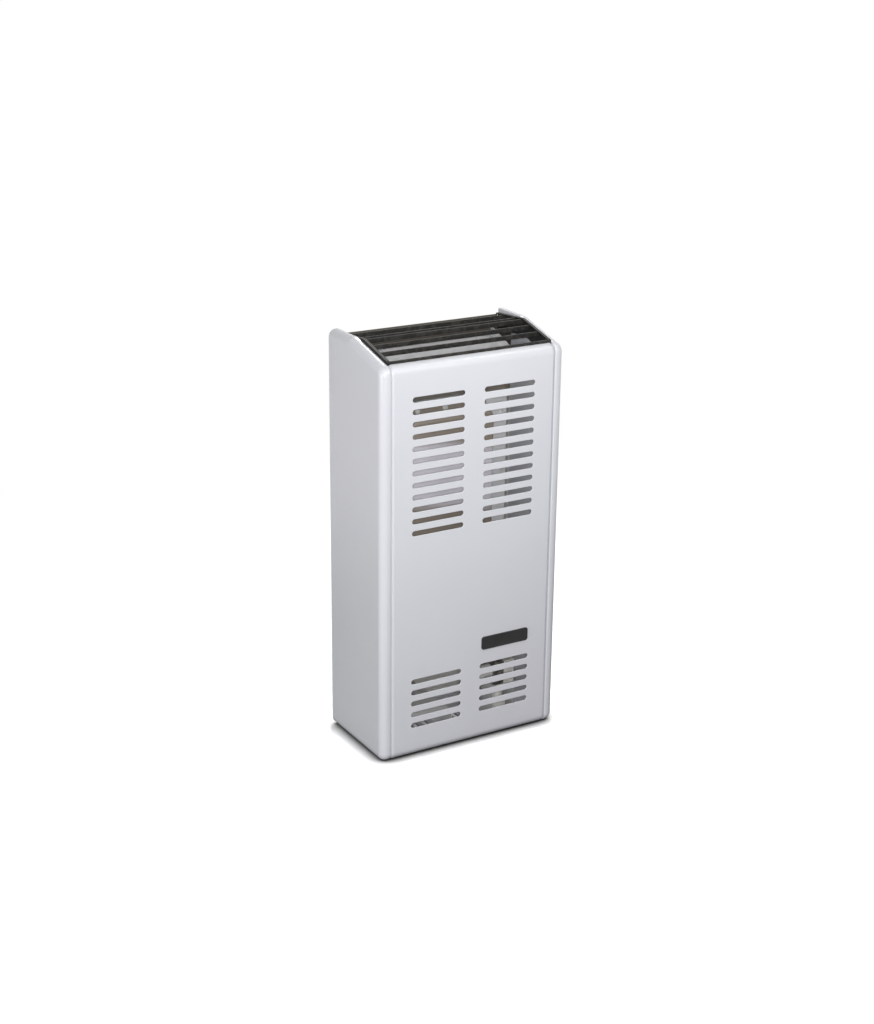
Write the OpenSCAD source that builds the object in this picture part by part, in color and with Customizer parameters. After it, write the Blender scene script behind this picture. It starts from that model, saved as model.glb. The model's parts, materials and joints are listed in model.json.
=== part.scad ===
// Wall mounted gas heater: a white sheet-steel cabinet with slotted front and black top grille, round a
// room-sealed heat exchanger whose concentric flue leaves through the wall behind it.
// Frame: X to the right seen from the front, Y into the wall, Z up, all in millimetres. The wall is the
// plane Y = 0, the cabinet's underside is Z = 0 and the cabinet is centred on X = 0.

/* [Cabinet] */
// Overall width
cabinet_w = 290; // [286:1:360]
// Overall height
cabinet_h = 596; // [580:1:720]
// Depth from the wall to the front face
cabinet_d = 150; // [148:1:185]
// Depth of the level part of the top, from the wall
top_level_d = 57; // [50:1:64]
// Angle of the sloping part of the top
top_slope = 14; // [8:1:18]
// Outside radius of the bend between underside and front
bottom_bend = 12; // [11.5:0.5:16]
// Outside radius of the bend between front and slope
brow_bend = 14; // [12:0.5:18]
// Outside radius of the bend between slope and level top
crest_bend = 20; // [20:1:30]

/* [Cheeks] */
// Sheet of the cheeks
cheek_sheet = 1.2; // [0.8:0.1:1.6]
// Outside radius of a cheek's rolled rim
rim_bend = 11; // [6:0.5:11]
// Width of a cheek seen from the front
cheek_band = 15; // [13:0.5:20]
// Depth of the return lip down the front and along the bottom
front_lip = 10; // [5:0.5:11]
// Depth of the return lip along the top, which carries the grille
top_lip = 19; // [18:0.5:20]

/* [Front panel] */
// Sheet of the front panel
panel_sheet = 1; // [0.8:0.1:1.5]
// Gap between the front panel and each cheek
panel_gap = 0.8; // [0.4:0.1:1.5]
// Outside radius of the panel's side bends
panel_bend = 4; // [2:0.5:6]
// Depth of the panel's side returns
panel_return = 10; // [7:0.5:11]
// How far the panel runs back under the cabinet
panel_foot = 12; // [10:0.5:20]
// How far the panel runs back up the slope
panel_brow = 1; // [1:0.5:4]
// Length of a slot
slot_len = 81.6; // [60:0.1:90]
// Height of a slot
slot_h = 7.4; // [4:0.2:9]
// Distance between the two columns of slots
slot_gap = 31.2; // [20:0.1:60]
// Slots in each upper column
upper_rows = 12; // [1:1:12]
// Slots in each lower column
lower_rows = 5; // [1:1:5]
// Spacing of the upper slots
upper_pitch = 17.2; // [10:0.1:17.5]
// Spacing of the lower slots
lower_pitch = 16.8; // [10:0.1:17]
// Height of the lowest upper slot's centre
upper_z = 336.3; // [320:0.1:345]
// Height of the lowest lower slot's centre
lower_z = 47.4; // [40:0.1:50]
// Width of the plain badge plate
badge_w = 78; // [40:1:90]
// Height of the plain badge plate
badge_h = 20; // [10:1:24]
// Thickness of the plain badge plate
badge_t = 1.5; // [0.8:0.1:2]
// Height of the badge plate's centre
badge_z = 150; // [140:1:280]

/* [Grille] */
// Thickness of the grille's bars and rails
bar_t = 2.5; // [1.5:0.1:4]
// Height of a bar
bar_h = 6.5; // [5:0.5:9]
// Depth of the first bar's centre behind the front face
bar_first = 41; // [34:1:46]
// Spacing of the bars on the slope
bar_pitch = 20.5; // [16:0.5:21]
// Depth of the last bar's centre behind the front face
bar_last = 99; // [98:1:104]
// Depth of the back rail's centre behind the front face
back_rail_at = 133; // [125:1:140]
// Rise of the grille's sloping part above the cabinet's slope
grille_rise = 3.5; // [0:0.5:4]
// Drop of the grille's level part below the cabinet's top
grille_drop = 0; // [0:0.5:4]
// Fall of the grille from its crest to the back plate
grille_fall = 6; // [0:0.5:8]
// Sheet of the grille's end plates
grille_sheet = 1.5; // [1:0.1:2]
// Width of an end plate's top flange
grille_flange = 4.5; // [3:0.5:12]
// Height of an end plate's web
grille_web = 25; // [22:0.5:30]
// Height of the front rail
front_rail_h = 8.4; // [6:0.1:8.5]

/* [Base and back] */
// Sheet of the base tray and the inlet shield
tray_sheet = 1.2; // [0.8:0.1:2]
// Height of the tray's flanges
tray_flange = 13; // [8:1:20]
// Height of the shield's deck above the cabinet's underside
shield_z = 40; // [30:1:45]
// Distance of the shield's right edge from the middle, to the left
shield_edge = 12; // [5:1:40]
// Sheet of the back plate
back_sheet = 1; // [0.8:0.1:2]
// Depth of the back plate's side flanges
back_flange = 15; // [8:1:25]
// Sideways spacing of the wall screw holes
wall_dx = 240; // [234:1:250]
// Upright spacing of the wall screw holes
wall_dz = 420; // [380:5:420]
// Height of the lower wall screw holes
wall_z = 90; // [60:1:100]
// Radius of a wall screw hole
wall_hole_r = 3.5; // [2.5:0.1:5]

/* [Heat exchanger] */
// Sheet of the chamber's shells
chamber_sheet = 1; // [0.8:0.1:1.5]
// Width of the front shell's body
front_shell_w = 134; // [120:1:150]
// Width of the rear shell's body
rear_shell_w = 160; // [150:1:166]
// Width over the joint flange
joint_w = 204; // [188:1:206]
// Height over the joint flange
joint_h = 388; // [360:1:400]
// Width of the joint flange above and below the body
joint_rim = 14; // [12:0.5:18]
// Height of the joint flange's lower edge
joint_z = 102; // [100:1:106]
// Depth of the joint behind the front face
joint_at = 80; // [78:1:84]
// Depth of the front shell's face behind the front face
shell_face_at = 55; // [54:1:56]
// Depth of the rear shell's back wall, in front of the wall plane
shell_back_y = 34; // [30:1:40]
// Thickness of the joint gasket
gasket_t = 1; // [0.5:0.1:2]
// Corner radius of the shells
shell_corner = 10; // [5:1:15]
// Radius of the sight window
sight_r = 12; // [8:1:14]
// Height of the sight window
sight_z = 146; // [142:1:190]
// Shift of the sight window from the middle, to the right
sight_x = 42; // [0:1:45]
// Slope of the warm-air deflector: rise from its front edge to the back plate
deflector_rise = 33; // [20:1:36]
// Height of the deflector at the back plate, below the cabinet's top
deflector_drop = 36; // [30:1:44]
// Depth of the deflector
deflector_d = 91; // [70:1:95]

/* [Flue] */
// Inside radius of the exhaust pipe
exhaust_r = 30; // [25:0.5:35]
// Wall of the exhaust pipe
exhaust_wall = 1; // [0.6:0.1:2]
// Inside radius of the air intake collar
intake_r = 49; // [42:0.5:52]
// Wall of the air intake collar
intake_wall = 1; // [0.6:0.1:2]
// Gap round the collar in the back plate, which takes the wall of the pipe pushed over it
collar_gap = 0.9; // [0.9:0.1:2]
// Height of the flue's axis
flue_z = 420; // [400:1:425]
// How far the exhaust pipe stands out behind the wall plane
exhaust_out = 22; // [15:1:60]
// How far the intake collar stands out behind the wall plane
intake_out = 16; // [10:1:50]
// Width of the air duct behind the chamber
duct_w = 120; // [118:1:130]
// Height of the duct's lower edge
duct_z = 122; // [120:1:130]
// Width of the collar's flange
collar_rim = 8; // [6:0.5:8]

/* [Burner] */
// Outside radius of the burner tube
burner_r = 14; // [11:0.5:15]
// Wall of the burner tube
burner_wall = 1; // [0.6:0.1:1.5]
// Length of the burner tube's ported part
burner_len = 102; // [80:1:104]
// Outside radius of the burner's inlet tube
inlet_r = 9; // [8:0.1:10]
// Height of the burner's axis
burner_z = 142; // [140:1:150]
// Burner axis in front of the wall plane
burner_y = 52; // [50:0.5:54]
// Running clearance between the air shutter and the inlet tube
shutter_fit = 0.05; // [0.02:0.01:0.1]
// Wall of the air shutter
shutter_wall = 1.5; // [1:0.1:2]
// Outside radius of the gas tube
gas_tube_r = 4; // [3:0.5:4.5]
// Wall of the gas tube
gas_tube_wall = 1; // [0.6:0.1:1.5]
// Centre-line radius of the gas tube's bends
gas_tube_bend = 9; // [7:0.5:9]
// Height of the pilot flame's tip
pilot_tip_z = 150; // [146:1:156]

/* [Gas control] */
// Length of the valve body
valve_len = 30; // [26:1:34]
// Width of the valve body, front to back
valve_d = 34; // [30:1:36]
// Height of the valve body
valve_h = 36; // [32:1:36]
// Gap between the valve's bonnet and the outside of the right cheek
valve_inset = 46; // [42:1:50]
// Depth of the valve's axis behind the front face
valve_at = 55; // [54:1:56]
// Height of the valve's axis
valve_z = 76; // [72:1:78]
// Radius of the plug's large end
plug_r = 11; // [10:0.1:12]
// Radius lost along the plug's taper
plug_taper = 1; // [0.5:0.1:1.5]
// Running clearance round the plug and the spindle
spindle_fit = 0.05; // [0.02:0.01:0.1]
// Radius of the spindle
spindle_r = 4; // [3:0.1:4.5]
// Depth of the flat cut on the spindle
spindle_flat = 1.2; // [0.5:0.1:1.5]
// How far the knob pushes in
push_travel = 3.5; // [2:0.5:4]
// Radius of the knob
knob_r = 18; // [15:0.5:20]
// Length of the knob
knob_len = 15; // [12:0.5:18]
// Gap between the knob and the control plate, with the knob out
knob_gap = 4; // [4:0.1:6]
// Radius of the magnet unit's cup
magnet_r = 11; // [10:0.5:12]
// Length of the magnet unit's cup
magnet_len = 22; // [20:1:24]
// Bore of the gas inlet's female thread, radius
gas_bore_r = 9.3; // [7:0.1:9.5]
// Depth of the gas inlet's female thread
gas_bore_len = 14; // [10:1:18]

/* [Igniter] */
// Radius of the igniter's barrel
igniter_r = 8; // [7:0.5:9]
// Length of the barrel behind the cheek's outside
igniter_len = 39; // [36:1:40]
// Height of the igniter's axis
igniter_z = 130; // [126:1:134]
// Radius of the button
button_r = 6; // [5:0.1:6.4]
// How far the button stands out of its bezel
button_out = 6.5; // [6.5:0.5:8]
// How far the button goes in
button_travel = 6; // [4:0.5:6]
// Thickness of the control plate on the right cheek
control_t = 2; // [1.5:0.1:3]

/* [Hidden] */
$fn = 64;
eps = 0.01;

// The cabinet's profile, as [Y, Z] corners before they are bent, from the wall along the underside, up
// the front, up the slope and back along the level top.
half_w = cabinet_w / 2;
slope_d = cabinet_d - top_level_d;
brow_z = cabinet_h - slope_d * tan(top_slope);
corner = [[0, 0], [-cabinet_d, 0], [-cabinet_d, brow_z], [-top_level_d, cabinet_h], [0, cabinet_h]];
// Direction that each side of the profile faces, in degrees from +Y towards +Z
facing = [270, 180, 90 + top_slope, 90];
bend_r = [bottom_bend, brow_bend, crest_bend];
bend_turn = [90, 90 - top_slope, top_slope];
bend_cut = [for (i = [0:2]) bend_r[i] * tan(bend_turn[i] / 2)];
last_side = 3;
function along(i) = (corner[i + 1] - corner[i]) / norm(corner[i + 1] - corner[i]);
function inward(i) = [-cos(facing[i]), -sin(facing[i])];
function cut_in(i) = i == 0 ? 0 : bend_cut[i - 1];
function cut_out(i) = i == last_side ? 0 : bend_cut[i];
function side_start(i) = corner[i] + along(i) * cut_in(i);
function side_end(i) = corner[i + 1] - along(i) * cut_out(i);
function side_len(i) = norm(side_end(i) - side_start(i));
function bend_centre(i) = side_start(i + 1) + inward(i + 1) * bend_r[i];
// Height of the outer profile at a depth behind the front face
function top_z(depth) = min(cabinet_h, brow_z + depth * tan(top_slope));

// Bends are this much thinner than the flats on each face and lap into them by this angle, and a cheek's
// flat plate laps under its rim, so that every joint between the pieces of a pressing has clean edges
bend_step = 0.02;
bend_lap = 0.2;
plate_step = 2 * bend_step;
plate_lap = 2;

side_in = half_w - cheek_sheet;
lip_x = half_w - cheek_band;
panel_half = lip_x - panel_gap;
panel_end = side_start(2) + along(2) * panel_brow;
brow_half = panel_half - panel_bend - 1;

// Grille: its slope stands above the cabinet's, and its bars end under the end plates' flanges
grille_z = cabinet_h - grille_drop;
grille_foot_z = brow_z + grille_rise;
grille_crest = (grille_z - grille_foot_z) / tan(top_slope);
grille_fall_rate = grille_fall / (cabinet_d - back_sheet - grille_crest);
grille_fit = 0.3;
grille_x = lip_x - grille_fit;
hem_y = panel_end[0] - 0.7;
hem_h = 9;
front_rail_y = hem_y + panel_sheet;
bar_at = [bar_first, bar_first + bar_pitch, bar_first + 2 * bar_pitch, bar_last];
rivet_depth = [53, 76.6, 100.5];
rivet_below = 15.2;
rivet_head_r = 2.6;
rivet_head_h = 1.2;
rivet_r = 1.5;
function rivet_z(depth) = top_z(depth) - rivet_below;
function grille_top(depth) = min(grille_foot_z + depth * tan(top_slope),
    grille_z - (depth - grille_crest) * grille_fall_rate);
front_rail_top = grille_top(cabinet_d + front_rail_y);

// Fixings
screw_r = 2;
screw_fit = 0.1;
screw_head_r = 4;
screw_head_h = 3;
panel_screw_x = 100;
panel_screw_y = -cabinet_d + bottom_bend + panel_foot / 2;

// Base tray and shield
tray_z = panel_sheet;
tray_top = tray_z + tray_sheet;
tray_front_y = -cabinet_d + bottom_bend + panel_foot + 2;
tray_tongue_y = -cabinet_d + bottom_bend + 1;
tray_tongue_half = 120;
tray_slot_w = 8;
tray_slot_len = 70;
tray_slot_pitch = 16;
tray_left_slots = 6;
union_hole_r = 18;
shield_front_y = tray_front_y + 4;
shield_back_y = -8;
shield_left = -lip_x + tray_sheet + 0.2;

// Back plate
back_z0 = 0;
back_inset = 20;
back_top = cabinet_h - 8;
wall_hole_z = [wall_z, wall_z + wall_dz];

// Chamber
joint_y = -cabinet_d + joint_at;
shell_face_y = -cabinet_d + shell_face_at;
front_flange_y = joint_y - chamber_sheet;
rear_flange_y = joint_y + gasket_t;
rear_wall_y = -shell_back_y - chamber_sheet;
joint_mid_z = joint_z + joint_h / 2;
body_h = joint_h - 2 * joint_rim;
body_z = joint_z + joint_rim;
side_screw_x = joint_w / 2 - 7;
side_screws = 5;
side_screw_pitch = 83;
end_screws = 3;
end_screw_pitch = 45;
end_screw_z = joint_h / 2 - joint_rim / 2;
chamber_screw_spots = concat(
    [for (s = [-1, 1]) for (i = [0:side_screws - 1])
        [s * side_screw_x, joint_mid_z + (i - (side_screws - 1) / 2) * side_screw_pitch]],
    [for (s = [-1, 1]) for (i = [0:end_screws - 1])
        [(i - (end_screws - 1) / 2) * end_screw_pitch, joint_mid_z + s * end_screw_z]]);
chamber_screw_len = 9;
glass_t = 3;
sight_rim = 7;
sight_frame_t = 1.5;
sight_screw_ring = sight_r + 4;
sight_screw_count = 3;
sight_screw_r = 1.25;
bracket_h = 24;
bracket_sheet = 1.5;
bracket_foot = 16;
bracket_z = [joint_mid_z - side_screw_pitch, joint_mid_z + side_screw_pitch];
bracket_x = joint_w / 2;
foot_rivet_x = bracket_x + bracket_foot - 7;
deflector_half = lip_x - 12;
deflector_sheet = 0.8;
deflector_foot = 14;
deflector_z = cabinet_h - deflector_drop;
deflector_end_h = 12;

// Flue and duct
duct_sheet = 1;
duct_top_gap = 8;
duct_h = flue_z + intake_r + intake_wall + collar_rim + duct_top_gap - duct_z;
duct_front_y = -shell_back_y;
air_port_w = 84;
air_port_h = 12;
air_port_z = duct_z + 3;
exhaust_out_r = exhaust_r + exhaust_wall;
exhaust_rim = 7;
pipe_fit = 0.1;
flue_gasket_t = 2;
flue_gasket_w = 7;

// Burner, pilot and their tubes
burner_axis_y = -burner_y;
burner_left = -64;
burner_right = burner_left + burner_len;
cone_len = 10;
inlet_len = 14;
inlet_right = burner_right + cone_len + inlet_len;
shutter_len = 10;
shutter_x = inlet_right - shutter_len - 2;
shutter_port = 6;
shutter_port_w = 7;
lever_len = 5;
port_pitch = 5;
port_w = 1.2;
port_len = 12;
port_margin = 6;
bracket_spots = [burner_left + 14, burner_right - 8];
burner_plate = 1.5;
burner_foot_z = air_port_z + air_port_h + 1;
injector_tip_x = inlet_right - 4;
injector_hex_x = inlet_right + 0.5;
holder_x = injector_hex_x + 8;
holder_r = 8;
holder_end = rear_shell_w / 2 + 8;
nut_len = 9;
nut_r = 8;
pilot_x = 56;
electrode_x = 46;
thermocouple_x = 34;
pilot_plate_t = 1.5;
pilot_plate_z = body_z - pilot_plate_t;
lead_r = 1.8;
lead_bend = 4;
lead_z = 99;
lead_drop_x = 84;
pilot_tube_z = 101;
pilot_tube_r = 2;
electrode_r = 3.5;
electrode_wire_r = 0.8;
capillary_r = 1.5;

// Valve, along X from the magnet unit on the left to the knob on the right
valve_y = -cabinet_d + valve_at;
pilot_y = valve_y + 11;
valve_x1 = half_w - valve_inset - 3;
valve_x0 = valve_x1 - valve_len;
bonnet_t = 3;
plug_wall = 4;
plug_x0 = valve_x0 + plug_wall;
plug_end_gap = 0.3;
magnet_x0 = valve_x0 - magnet_len;
magnet_wall = 2.5;
disc_r = 7.5;
disc_t = 2.5;
disc_stem_r = 1.5;
seat_gap = 0.3;
disc_x = valve_x0 - seat_gap - disc_t;
stem_tip_x = valve_x0 + 12.7;
spindle_tip_x = stem_tip_x + 0.3;
spindle_bore_x = spindle_tip_x - push_travel - 0.5;
spindle_round_x = valve_x1 + push_travel + 0.5;
magnet_core_r = 6;
magnet_core_x = disc_x - push_travel - 0.3;
outlet_x = valve_x0 + 22;
tube_riser_x = outlet_x + 20;
outlet_nut_y = valve_y + valve_d / 2;
pilot_outlet_x = valve_x0 + 5;
control_face = half_w + control_t;
knob_x = control_face + knob_gap;
knob_end = knob_x + knob_len;
spindle_end_x = knob_end - 5;
spindle_hole_r = spindle_r + 2;
knob_flutes = 12;
knob_cap_r = 13;
control_w = 50;
control_h = 100;
control_mid_z = valve_z + 24;
control_corner = 8;
union_x = valve_x0 + 15;
union_z0 = 3;
union_hex_r = 14;
union_hex_h = 27;
union_neck_r = 8;
union_bore_r = 5;
saddle_t = 1.5;
saddle_gap = 2;
saddle_x0 = valve_x0 - saddle_gap - saddle_t;
saddle_x1 = valve_x1 + saddle_gap + saddle_t;
saddle_z = valve_z - valve_h / 2;
saddle_foot = 12;
bonnet_screw_inset = 4.5;

// Igniter
igniter_y = valve_y;
igniter_x0 = half_w - igniter_len;
terminal_len = 6;
terminal_r = 2.5;
bezel_r = igniter_r + 2.5;
bezel_t = 2.5;
bezel_x = control_face + bezel_t;
button_end = bezel_x + button_out;
button_tail = 26;
igniter_nut_r = 12;
igniter_nut_t = 6;

white = [0.93, 0.94, 0.95];
black = [0.12, 0.12, 0.12];
bright = [0.78, 0.79, 0.8];
zinc = [0.62, 0.63, 0.63];
brown = [0.42, 0.38, 0.34];
brass = [0.72, 0.58, 0.3];

// ---------------------------------------------------------------- helpers

// A quarter of a ring, in the quadrant where x and y are negative, thinned by step on each face
module quarter_ring(r, wall, step) {
    intersection() {
        difference() {
            circle(r - step);
            circle(r - wall + step);
        }
        translate([-r, -r]) square(r);
    }
}

// A rectangle with round corners, centred on the origin
module round_rect(w, h, r) {
    square([w - 2 * r, h], center = true);
    square([w, h - 2 * r], center = true);
    for (x = [-1, 1], y = [-1, 1]) {
        translate([x * (w / 2 - r), y * (h / 2 - r)]) intersection() {
            circle(r);
            translate([x < 0 ? -r : 0, y < 0 ? -r : 0]) square(r);
        }
    }
}

// A slot with round ends, centred on the origin
module slot_shape(length, height) {
    square([length - height, height], center = true);
    for (s = [-1, 1]) {
        translate([s * (length - height) / 2, 0]) intersection() {
            circle(height / 2);
            translate([s < 0 ? -height / 2 : 0, -height / 2]) square([height / 2, height]);
        }
    }
}

// Stands an [X, Z] outline up as a plate from y to y + t
module upright(y, t) {
    translate([0, y + t, 0]) rotate([90, 0, 0]) linear_extrude(t) children();
}

// Stands a [Y, Z] outline up as a plate from x to x + t
module sidewise(x, t) {
    translate([x, 0, 0]) rotate([90, 0, 90]) linear_extrude(t) children();
}

// Extrudes an [X, inward] section along side i of the profile, between two distances from its start
module on_side(i, from, to) {
    start = side_start(i) + along(i) * from;
    translate([0, start[0], start[1]]) rotate([facing[i] - 180, 0, 0]) linear_extrude(to - from) children();
}

// Turns an [X, inward] section round bend i of the profile
module on_bend(i) {
    centre = bend_centre(i);
    translate([0, centre[0], centre[1]]) rotate([facing[i + 1] - bend_lap, 0, 0]) rotate([90, 0, 90])
        rotate_extrude(angle = bend_turn[i] + 2 * bend_lap) translate([bend_r[i], 0]) rotate(90) children();
}

// A cylinder along X between two places
module rod_x(x0, x1, r, y, z) {
    translate([x0, y, z]) rotate([0, 90, 0]) cylinder(r = r, h = x1 - x0);
}

// A hexagonal bar along X between two places
module hex_x(x0, x1, r, y, z) {
    translate([x0, y, z]) rotate([0, 90, 0]) cylinder(r = r, h = x1 - x0, $fn = 6);
}

// A cylinder along Y between two places
module rod_y(y0, y1, r, x, z) {
    translate([x, y0, z]) rotate([-90, 0, 0]) cylinder(r = r, h = y1 - y0);
}

// A hexagonal bar along Y between two places
module hex_y(y0, y1, r, x, z) {
    translate([x, y0, z]) rotate([-90, 0, 0]) cylinder(r = r, h = y1 - y0, $fn = 6);
}

// A cylinder along Z between two heights
module rod_z(z0, z1, r, x, y) {
    translate([x, y, z0]) cylinder(r = r, h = z1 - z0);
}

// A box between two corners
module block(low, high) {
    translate(low) cube(high - low);
}

// Section of a tube; a wall as thick as the radius makes it solid
module tube_section(r, wall) {
    difference() {
        circle(r);
        if (wall < r) circle(r - wall);
    }
}

// A tube along points joined by square turns, each bent to the same centre-line radius
module bent_tube(points, r, wall, bend) {
    last = len(points) - 1;
    for (i = [0:last - 1]) {
        run = points[i + 1] - points[i];
        dir = run / norm(run);
        cut0 = i == 0 ? 0 : bend;
        cut1 = i == last - 1 ? 0 : bend;
        translate(points[i] + dir * cut0) rotate([0, acos(dir[2]), atan2(dir[1], dir[0])])
            linear_extrude(norm(run) - cut0 - cut1) tube_section(r, wall);
    }
    for (i = [1:last - 1]) {
        u = (points[i] - points[i - 1]) / norm(points[i] - points[i - 1]);
        v = (points[i + 1] - points[i]) / norm(points[i + 1] - points[i]);
        w = cross(u, v);
        c = points[i] - u * bend + v * bend;
        multmatrix([
            [-v[0], u[0], w[0], c[0]],
            [-v[1], u[1], w[1], c[1]],
            [-v[2], u[2], w[2], c[2]],
            [0, 0, 0, 1]
        ]) rotate_extrude(angle = 90) translate([bend, 0]) tube_section(r, wall);
    }
}

// ---------------------------------------------------------------- cabinet

// Section of the left cheek's rim: a strip of its side, rolled edge, narrow front and return lip
module cheek_rim(lip, strip, step) {
    thin = cheek_sheet - 2 * step;
    translate([-half_w + step, rim_bend]) square([thin, strip]);
    translate([-half_w + rim_bend, rim_bend]) quarter_ring(rim_bend, cheek_sheet, step);
    translate([-half_w + rim_bend, step]) square([cheek_band - rim_bend - step, thin]);
    translate([-lip_x - cheek_sheet + step, step]) square([thin, lip - 2 * step]);
}

module cheek() {
    lips = [front_lip, front_lip, top_lip, top_lip];
    for (i = [0:last_side]) {
        on_side(i, 0, side_len(i)) cheek_rim(lips[i], plate_lap, 0);
    }
    for (i = [0:2]) {
        on_bend(i) cheek_rim(i == 2 ? top_lip : front_lip, bend_r[i] - rim_bend, bend_step);
    }
    inner = concat(
        [side_start(0) + inward(0) * rim_bend],
        [for (i = [0:2]) each [
            side_end(i) + inward(i) * rim_bend,
            bend_centre(i),
            side_start(i + 1) + inward(i + 1) * rim_bend]],
        [side_end(last_side) + inward(last_side) * rim_bend]);
    sidewise(-half_w + plate_step, cheek_sheet - 2 * plate_step) polygon(inner);
}

module left_cheek() {
    color(white) difference() {
        cheek();
        for (d = rivet_depth) {
            rod_x(-lip_x - cheek_sheet - 1, -lip_x + 1, rivet_r, d - cabinet_d, rivet_z(d));
        }
    }
}

module right_cheek() {
    color(white) difference() {
        mirror([1, 0, 0]) left_cheek();
        rod_x(side_in - 1, half_w + 1, spindle_hole_r, valve_y, valve_z);
        rod_x(side_in - 1, half_w + 1, igniter_r + pipe_fit, igniter_y, igniter_z);
    }
}

// Section of the front panel across its width
module panel_section(step) {
    flat = panel_half - panel_bend;
    thin = panel_sheet - 2 * step;
    translate([-flat, step]) square([2 * flat, thin]);
    for (s = [0, 1]) {
        mirror([s, 0]) {
            translate([-flat, panel_bend]) quarter_ring(panel_bend, panel_sheet, step);
            translate([-panel_half + step, panel_bend]) square([thin, panel_return - panel_bend - step]);
        }
    }
}

// All slots of the front, as an [X, Z] outline
module slot_field(rows, pitch, z) {
    for (i = [0:rows - 1], s = [-1, 1]) {
        translate([s * (slot_gap + slot_len) / 2, z + i * pitch]) slot_shape(slot_len, slot_h);
    }
}

module panel_screw_cut(fit) {
    for (s = [-1, 1]) {
        translate([s * panel_screw_x, panel_screw_y, 0]) {
            cylinder(r1 = screw_head_r + fit, r2 = screw_r + fit, h = tray_z);
            cylinder(r = screw_r + fit, h = tray_top + 5);
        }
    }
}

module front_panel() {
    color(white) {
        difference() {
            union() {
                on_side(0, side_len(0) - panel_foot, side_len(0)) panel_section(0);
                on_bend(0) panel_section(bend_step);
                on_side(1, 0, side_len(1)) panel_section(0);
                on_bend(1) panel_section(bend_step);
                on_side(2, 0, panel_brow) translate([-brow_half, 0]) square([2 * brow_half, panel_sheet]);
            }
            upright(-cabinet_d - 1, panel_sheet + 2) {
                slot_field(upper_rows, upper_pitch, upper_z);
                slot_field(lower_rows, lower_pitch, lower_z);
            }
            panel_screw_cut(screw_fit);
        }
        block([-brow_half + 1, hem_y, panel_end[1] - hem_h],
            [brow_half - 1, hem_y + panel_sheet, panel_end[1] - 0.4]);
    }
}

module badge_plate() {
    color(black) translate([(slot_gap + slot_len) / 2, 0, badge_z])
        upright(-cabinet_d - badge_t, badge_t) round_rect(badge_w, badge_h, badge_h / 5);
}

module panel_screws() {
    color(zinc) {
        for (s = [-1, 1]) {
            translate([s * panel_screw_x, panel_screw_y, 0]) {
                cylinder(r1 = screw_head_r, r2 = screw_r, h = tray_z);
                cylinder(r = screw_r, h = tray_top + 3);
            }
        }
    }
}

module base_tray() {
    color(white) difference() {
        union() {
            block([-lip_x, tray_front_y, tray_z], [lip_x, -back_sheet, tray_top]);
            block([-tray_tongue_half, tray_tongue_y, tray_z], [tray_tongue_half, tray_front_y, tray_top]);
            for (s = [0, 1]) mirror([s, 0, 0])
                block([lip_x - tray_sheet, tray_front_y, tray_z],
                    [lip_x, -back_flange - 2, tray_z + tray_flange]);
            block([-lip_x + 4, -back_sheet - tray_sheet, tray_z],
                [lip_x - 4, -back_sheet, tray_z + tray_flange]);
        }
        panel_screw_cut(screw_fit);
        translate([0, 0, tray_z - 1]) linear_extrude(tray_sheet + 2) {
            for (i = [0:tray_left_slots - 1]) {
                translate([-lip_x + 22 + i * tray_slot_pitch, (tray_front_y + shield_back_y) / 2])
                    rotate(90) slot_shape(tray_slot_len, tray_slot_w);
            }
            for (i = [0:1]) {
                translate([8 + i * tray_slot_pitch, (tray_front_y + shield_back_y) / 2])
                    rotate(90) slot_shape(tray_slot_len, tray_slot_w);
            }
        }
        rod_z(tray_z - 1, tray_top + 1, union_hole_r, union_x, valve_y);
    }
}

// A raised plate over the tray's left air slots, open in front and behind
module inlet_shield() {
    color(white) {
        block([shield_left, shield_front_y, shield_z - tray_sheet], [-shield_edge, shield_back_y, shield_z]);
        block([shield_left, shield_front_y, tray_top], [shield_left + tray_sheet, shield_back_y, shield_z]);
        block([-shield_edge - tray_sheet, shield_front_y, tray_top], [-shield_edge, shield_back_y, shield_z]);
    }
}

module back_plate() {
    color(zinc) difference() {
        union() {
            block([-lip_x + 2, -back_sheet, back_z0], [lip_x - 2, 0, back_top]);
            block([-side_in, -back_sheet, back_inset], [side_in, 0, cabinet_h - back_inset]);
            for (s = [0, 1]) mirror([s, 0, 0])
                block([side_in - back_sheet, -back_flange, back_inset], [side_in, 0, cabinet_h - back_inset]);
        }
        for (s = [-1, 1], z = wall_hole_z) {
            rod_y(-back_sheet - 1, 1, wall_hole_r, s * wall_dx / 2, z);
        }
        for (s = [-1, 1], z = bracket_z) {
            rod_y(-back_sheet - 1, 1, screw_r, s * foot_rivet_x, z);
        }
        rod_y(-back_sheet - 1, 1, intake_r + intake_wall + collar_gap, 0, flue_z);
    }
}

// ---------------------------------------------------------------- grille

// Upright section of one end plate's web and flange as a [Y, Z] outline, with a thickness downwards
module grille_outline(depth_down) {
    y0 = front_rail_y;
    y1 = grille_crest - cabinet_d;
    y2 = -back_sheet;
    z0 = grille_top(cabinet_d + y0);
    z2 = grille_z - grille_fall;
    polygon([
        [y0, z0 - depth_down],
        [y0, z0],
        [y1, grille_z],
        [y2, z2],
        [y2, z2 - depth_down],
        [y1, grille_z - depth_down]
    ]);
}

// The space that one bar takes, between the outer faces of the end plates
module bar_shape(depth, top, height, fit) {
    y = depth - cabinet_d;
    block([-grille_x, y - bar_t / 2 - fit, top - height - fit], [grille_x, y + bar_t / 2 + fit, top + fit]);
}

function bar_top(i) = grille_top(bar_at[i]) - grille_sheet;
back_rail_top = grille_top(back_rail_at) - grille_sheet;

module grille_notches() {
    for (i = [0:3]) bar_shape(bar_at[i], bar_top(i), bar_h, 0);
    bar_shape(back_rail_at, back_rail_top, bar_h, 0);
}

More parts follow.
